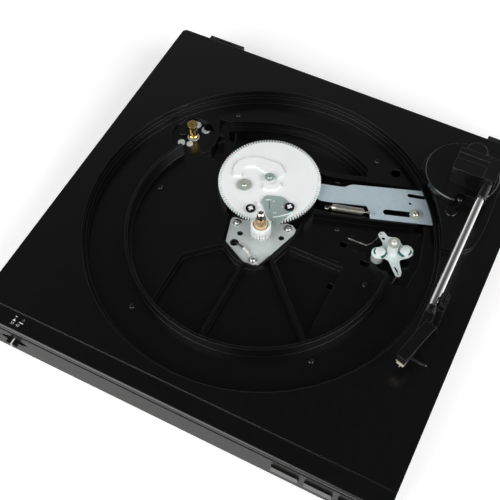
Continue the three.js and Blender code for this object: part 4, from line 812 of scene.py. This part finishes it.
def lever_caps():
    low = DISC_TOP - 0.4
    for side, (place, radius, seals, tilt) in CAPS.items():
        dome = [(0.001, low), (radius, low), (radius, CAP_TOP - 0.5), (radius - 0.15, CAP_TOP - 0.15),
                (radius - 0.55, CAP_TOP), (0.001, CAP_TOP)]
        cap = Shape().lathe(dome, place, 36)
        piece_of("lever_cap_" + side, cap.mesh("cap"), cap_white, "lever")
        seal = Shape()
        for start, end in seals:
            seal.arc(place, radius + 0.1, radius + 1.3, start, end, LEVER_TOP + 0.02, DISC_TOP + 0.3)
        piece_of("lever_seal_" + side, seal.mesh("seal"), teal, "lever", 0.05)
        u, v = math.cos(math.radians(tilt)), math.sin(math.radians(tilt))
        x, y = place
        line = [(x - MARK_HALF * u, y - MARK_HALF * v), (x + MARK_HALF * u, y + MARK_HALF * v)]
        mark = Shape().stroke(line, 0.35, CAP_TOP, CAP_TOP + 0.03)
        piece_of("lever_cap_mark_" + side, mark.mesh("mark"), faint_grey, "lever")


def pawl_marks():
    """The dots and dashes pressed up from the pawl's sheet, coloured paler than the sheet: a painted
    highlight.
    """
    low, high = PAWL_TOP, PAWL_TOP + 0.3
    dots = ((-2.2, 30.4), (6.8, 28.3), (2.7, 19.2), (4.4, 20.1))
    dashes = (((4.3, 15.2), (6.6, 16.6)), ((7.0, 17.0), (9.0, 18.4)), ((9.8, 19.4), (11.9, 21.0)),
              ((12.5, 21.9), (14.5, 23.6)), ((14.9, 24.4), (16.2, 26.4)))
    raised = Shape().stroke([(-9.0, 28.7), (-5.6, 30.4)], 0.75, low, high)
    for place in dots:
        raised.lathe([(0.001, low), (0.65, low), (0.55, high), (0.001, high + 0.03)], place, 12)
    for dash in dashes:
        raised.stroke(dash, 1.05, low, high)
    piece_of("pawl_marks", raised.mesh("pawl_marks"), stamped_highlight, "pawl", 0.08)


def slide_mark():
    """The small pressed mark beside the return spring's tab."""
    low, high = SLIDE_TOP, SLIDE_TOP + 0.06
    shape = Shape().stroke([(77.9, 62.3), (80.9, 63.5)], 0.7, low, high)
    shape.stroke([(79.5, 62.8), (80.2, 61.0)], 0.6, low, high)
    piece_of("slide_mark", shape.mesh("slide_mark"), dull_zinc, "slide")


def slot_leaf():
    """The curved leaf that shows through the slide plate's long slot."""
    shape = Shape().arc((95.5, 58.0), 8.6, 12.4, 60, 138, SLIDE_LOW - 3.0, SLIDE_LOW - 2.2, 18)
    piece_of("slot_leaf", shape.mesh("slot_leaf"), leaf_metal, "base", 0.2)


lever_caps()
pawl_marks()
slide_mark()
slot_leaf()


# The return spring, stretched between its peg on the base and the slide plate's tab
SPRING_PEG = (39.96, 50.07)
SPRING_TAB = (75.84, 60.77)
SPRING_WIRE = 0.42
SPRING_RADIUS = 2.75
SPRING_TURNS = 29
PEG_HOOK = 1.75
TAB_HOOK = 1.5
UP = Vector((0, 0, 1))


def spring_path(peg, tab, z):
    """Hook round the peg, close coil, hook over the tab."""
    start, end = Vector((*peg, z)), Vector((*tab, z))
    along = (end - start).normalized()
    across = Vector((-along.y, along.x, 0))
    first, last = start + along * 3.2 + across * 0.2, end - along * 4.6 - across * 0.3
    points = [start + PEG_HOOK * (math.cos(a) * along + math.sin(a) * across) - UP * 1.0
              for a in (math.radians(40 + i * 25) for i in range(12))]
    points += [first - along * 2.2 - across * 0.4 - UP * 0.6, first - along * 0.9 + across * 0.2]
    steps = SPRING_TURNS * 20
    for i in range(steps + 1):
        share = i / steps
        turn = 2 * math.pi * SPRING_TURNS * share - math.pi / 2
        radius = SPRING_RADIUS * min(1.0, 14 * share + 0.15, 14 * (1 - share) + 0.15)
        points.append(first.lerp(last, share) + radius * (math.cos(turn) * across + math.sin(turn) * UP))
    points += [last + along * 1.0 + UP * 0.1, last + along * 2.4 + across * 0.3 + UP * 0.6]
    points += [end - along * 1.5 + TAB_HOOK * (math.sin(a) * along * 0.9 + math.cos(a) * UP) + across * 0.2
               for a in (math.radians(20 + i * 25) for i in range(8))]
    return [tuple(p) for p in points]


def return_spring():
    path = spring_path(SPRING_PEG, SPRING_TAB, SLIDE_TOP + 1.2)
    data = Shape().tube(path, SPRING_WIRE, 8).mesh("spring")
    piece = piece_of("return_spring_coil", data, spring_steel, None)
    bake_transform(piece)
    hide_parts("return_spring")


def click_spring():
    """The thin over-centre spring of the lever: a fine coil on the base, with a long bent leg."""
    low = -12.9
    (x0, y0), (x1, y1) = (68.9, 29.2), (86.2, 29.8)
    length = math.hypot(x1 - x0, y1 - y0)
    along = Vector(((x1 - x0) / length, (y1 - y0) / length, 0))
    across = Vector((-along.y, along.x, 0))
    steps, rounds, radius = 180, 8, 0.55
    points = []
    for i in range(steps + 1):
        turn = 2 * math.pi * rounds * i / steps
        centre = Vector((x0, y0, low)) + along * (length * i / steps)
        points.append(tuple(centre + radius * (math.cos(turn) * across + math.sin(turn) * UP)))
    knee, tip = (87.4, 31.8), (91.9, 41.9)
    points += [(*knee, low), (88.7, 32.9, low), (90.0, 36.4, low + 0.2), (*tip, low + 0.6)]
    data = Shape().tube(points, 0.24, 6).mesh("click")
    piece = piece_of("click_spring_fine", data, spring_steel, None)
    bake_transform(piece)
    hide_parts("click_spring")


return_spring()
click_spring()


# Stage and light


def stage_floor():
    """A pale floor that keeps the object's shadow and shows nearly white to the camera."""
    reach = 6.0
    mesh = bpy.data.meshes.new("floor")
    corners = [(-reach, -reach, 0), (reach, -reach, 0), (reach, reach, 0), (-reach, reach, 0)]
    mesh.from_pydata(corners, [], [(0, 1, 2, 3)])
    floor = bpy.data.objects.new("floor", mesh)
    bpy.context.scene.collection.objects.link(floor)
    n = fresh("floor_white")
    n.value("Base Color", (0.88, 0.88, 0.88, 1.0))
    n.value("Roughness", 0.9)
    n.value("Specular IOR Level", 0.0)
    path = n.add("ShaderNodeLightPath")
    seen = n.add("ShaderNodeMath", operation="ADD")
    n.link(path.outputs["Is Camera Ray"], seen.inputs[0])
    n.link(path.outputs["Is Glossy Ray"], seen.inputs[1])
    strength = n.add("ShaderNodeMath", operation="MULTIPLY")
    strength.inputs[1].default_value = 0.3
    n.link(seen.outputs["Value"], strength.inputs[0])
    glow = n.add("ShaderNodeEmission")
    both = n.add("ShaderNodeAddShader")
    n.link(strength.outputs["Value"], glow.inputs["Strength"])
    n.link(n.shader.outputs["BSDF"], both.inputs[0])
    n.link(glow.outputs["Emission"], both.inputs[1])
    n.link(both.outputs["Shader"], n.tree.nodes["Material Output"].inputs["Surface"])
    mesh.materials.append(n.material)


# How bright the studio is, from the horizon and below up to the ceiling
WORLD_LEVELS = [(0.2, 1.0), (0.45, 0.42), (0.69, 0.19), (0.83, 0.07), (0.95, 0.035)]


def studio_world():
    """White round the horizon and a dim ceiling, so that the black deck stays dark from above."""
    world = bpy.data.worlds.new("studio")
    world.use_nodes = True
    bpy.context.scene.world = world
    tree = world.node_tree
    place = tree.nodes.new("ShaderNodeTexCoord")
    split = tree.nodes.new("ShaderNodeSeparateXYZ")
    ramp = tree.nodes.new("ShaderNodeValToRGB")
    tree.links.new(place.outputs["Generated"], split.inputs["Vector"])
    tree.links.new(split.outputs["Z"], ramp.inputs["Fac"])
    stops = ramp.color_ramp.elements
    while len(stops) < len(WORLD_LEVELS):
        stops.new(0.5)
    for stop, (height, level) in zip(stops, WORLD_LEVELS):
        stop.position, stop.color = height, (level, level, level, 1.0)
    tree.links.new(ramp.outputs["Color"], tree.nodes["Background"].inputs["Color"])


SOFTBOX_SIDE = 1.1
SOFTBOX_DISTANCE = 1.5
SOFTBOX_POWER = 18


def softbox(name, direction):
    light = bpy.data.lights.new(name, "AREA")
    light.shape = "RECTANGLE"
    light.size = light.size_y = SOFTBOX_SIDE
    light.energy = SOFTBOX_POWER
    lamp = bpy.data.objects.new(name, light)
    bpy.context.scene.collection.objects.link(lamp)
    away = Vector(direction).normalized()
    lamp.location = away * SOFTBOX_DISTANCE
    lamp.rotation_mode = "QUATERNION"
    lamp.rotation_quaternion = away.to_track_quat("Z", "Y")


stage_floor()
studio_world()
softbox("softbox_right", (0.789, -0.134, 0.597))
softbox("softbox_left", (-0.342, -0.718, 0.605))

# The camera fitted to the photograph: place in millimetres, angles in degrees, focal length in pixels
CAMERA_PLACE = (181.1, -370.6, 620.0)
CAMERA_YAW, CAMERA_PITCH, CAMERA_ROLL = -27.36, 57.97, -0.68
CAMERA_FOCAL = 877.3
PHOTO_WIDTH = 500
SENSOR_WIDTH = 36.0


def photo_camera():
    """The camera fitted to the photograph's edges and circles."""
    yaw, pitch, roll = (math.radians(angle) for angle in (CAMERA_YAW, CAMERA_PITCH, CAMERA_ROLL))
    ahead = Vector((math.sin(yaw) * math.cos(pitch), math.cos(yaw) * math.cos(pitch), -math.sin(pitch)))
    side = Vector((math.cos(yaw), -math.sin(yaw), 0))
    up = side.cross(ahead)
    turned_side = math.cos(roll) * side + math.sin(roll) * up
    turned_up = -math.sin(roll) * side + math.cos(roll) * up
    data = bpy.data.cameras.new("camera")
    data.sensor_width = SENSOR_WIDTH
    data.lens = CAMERA_FOCAL / PHOTO_WIDTH * SENSOR_WIDTH
    data.clip_start, data.clip_end = 0.01, 20
    camera = bpy.data.objects.new("camera", data)
    bpy.context.scene.collection.objects.link(camera)
    turn = Matrix((turned_side, turned_up, -ahead)).transposed()
    camera.matrix_world = Matrix.Translation(at(*CAMERA_PLACE)) @ turn.to_4x4()
    bpy.context.scene.camera = camera


photo_camera()
bpy.context.scene.view_settings.view_transform = "Standard"
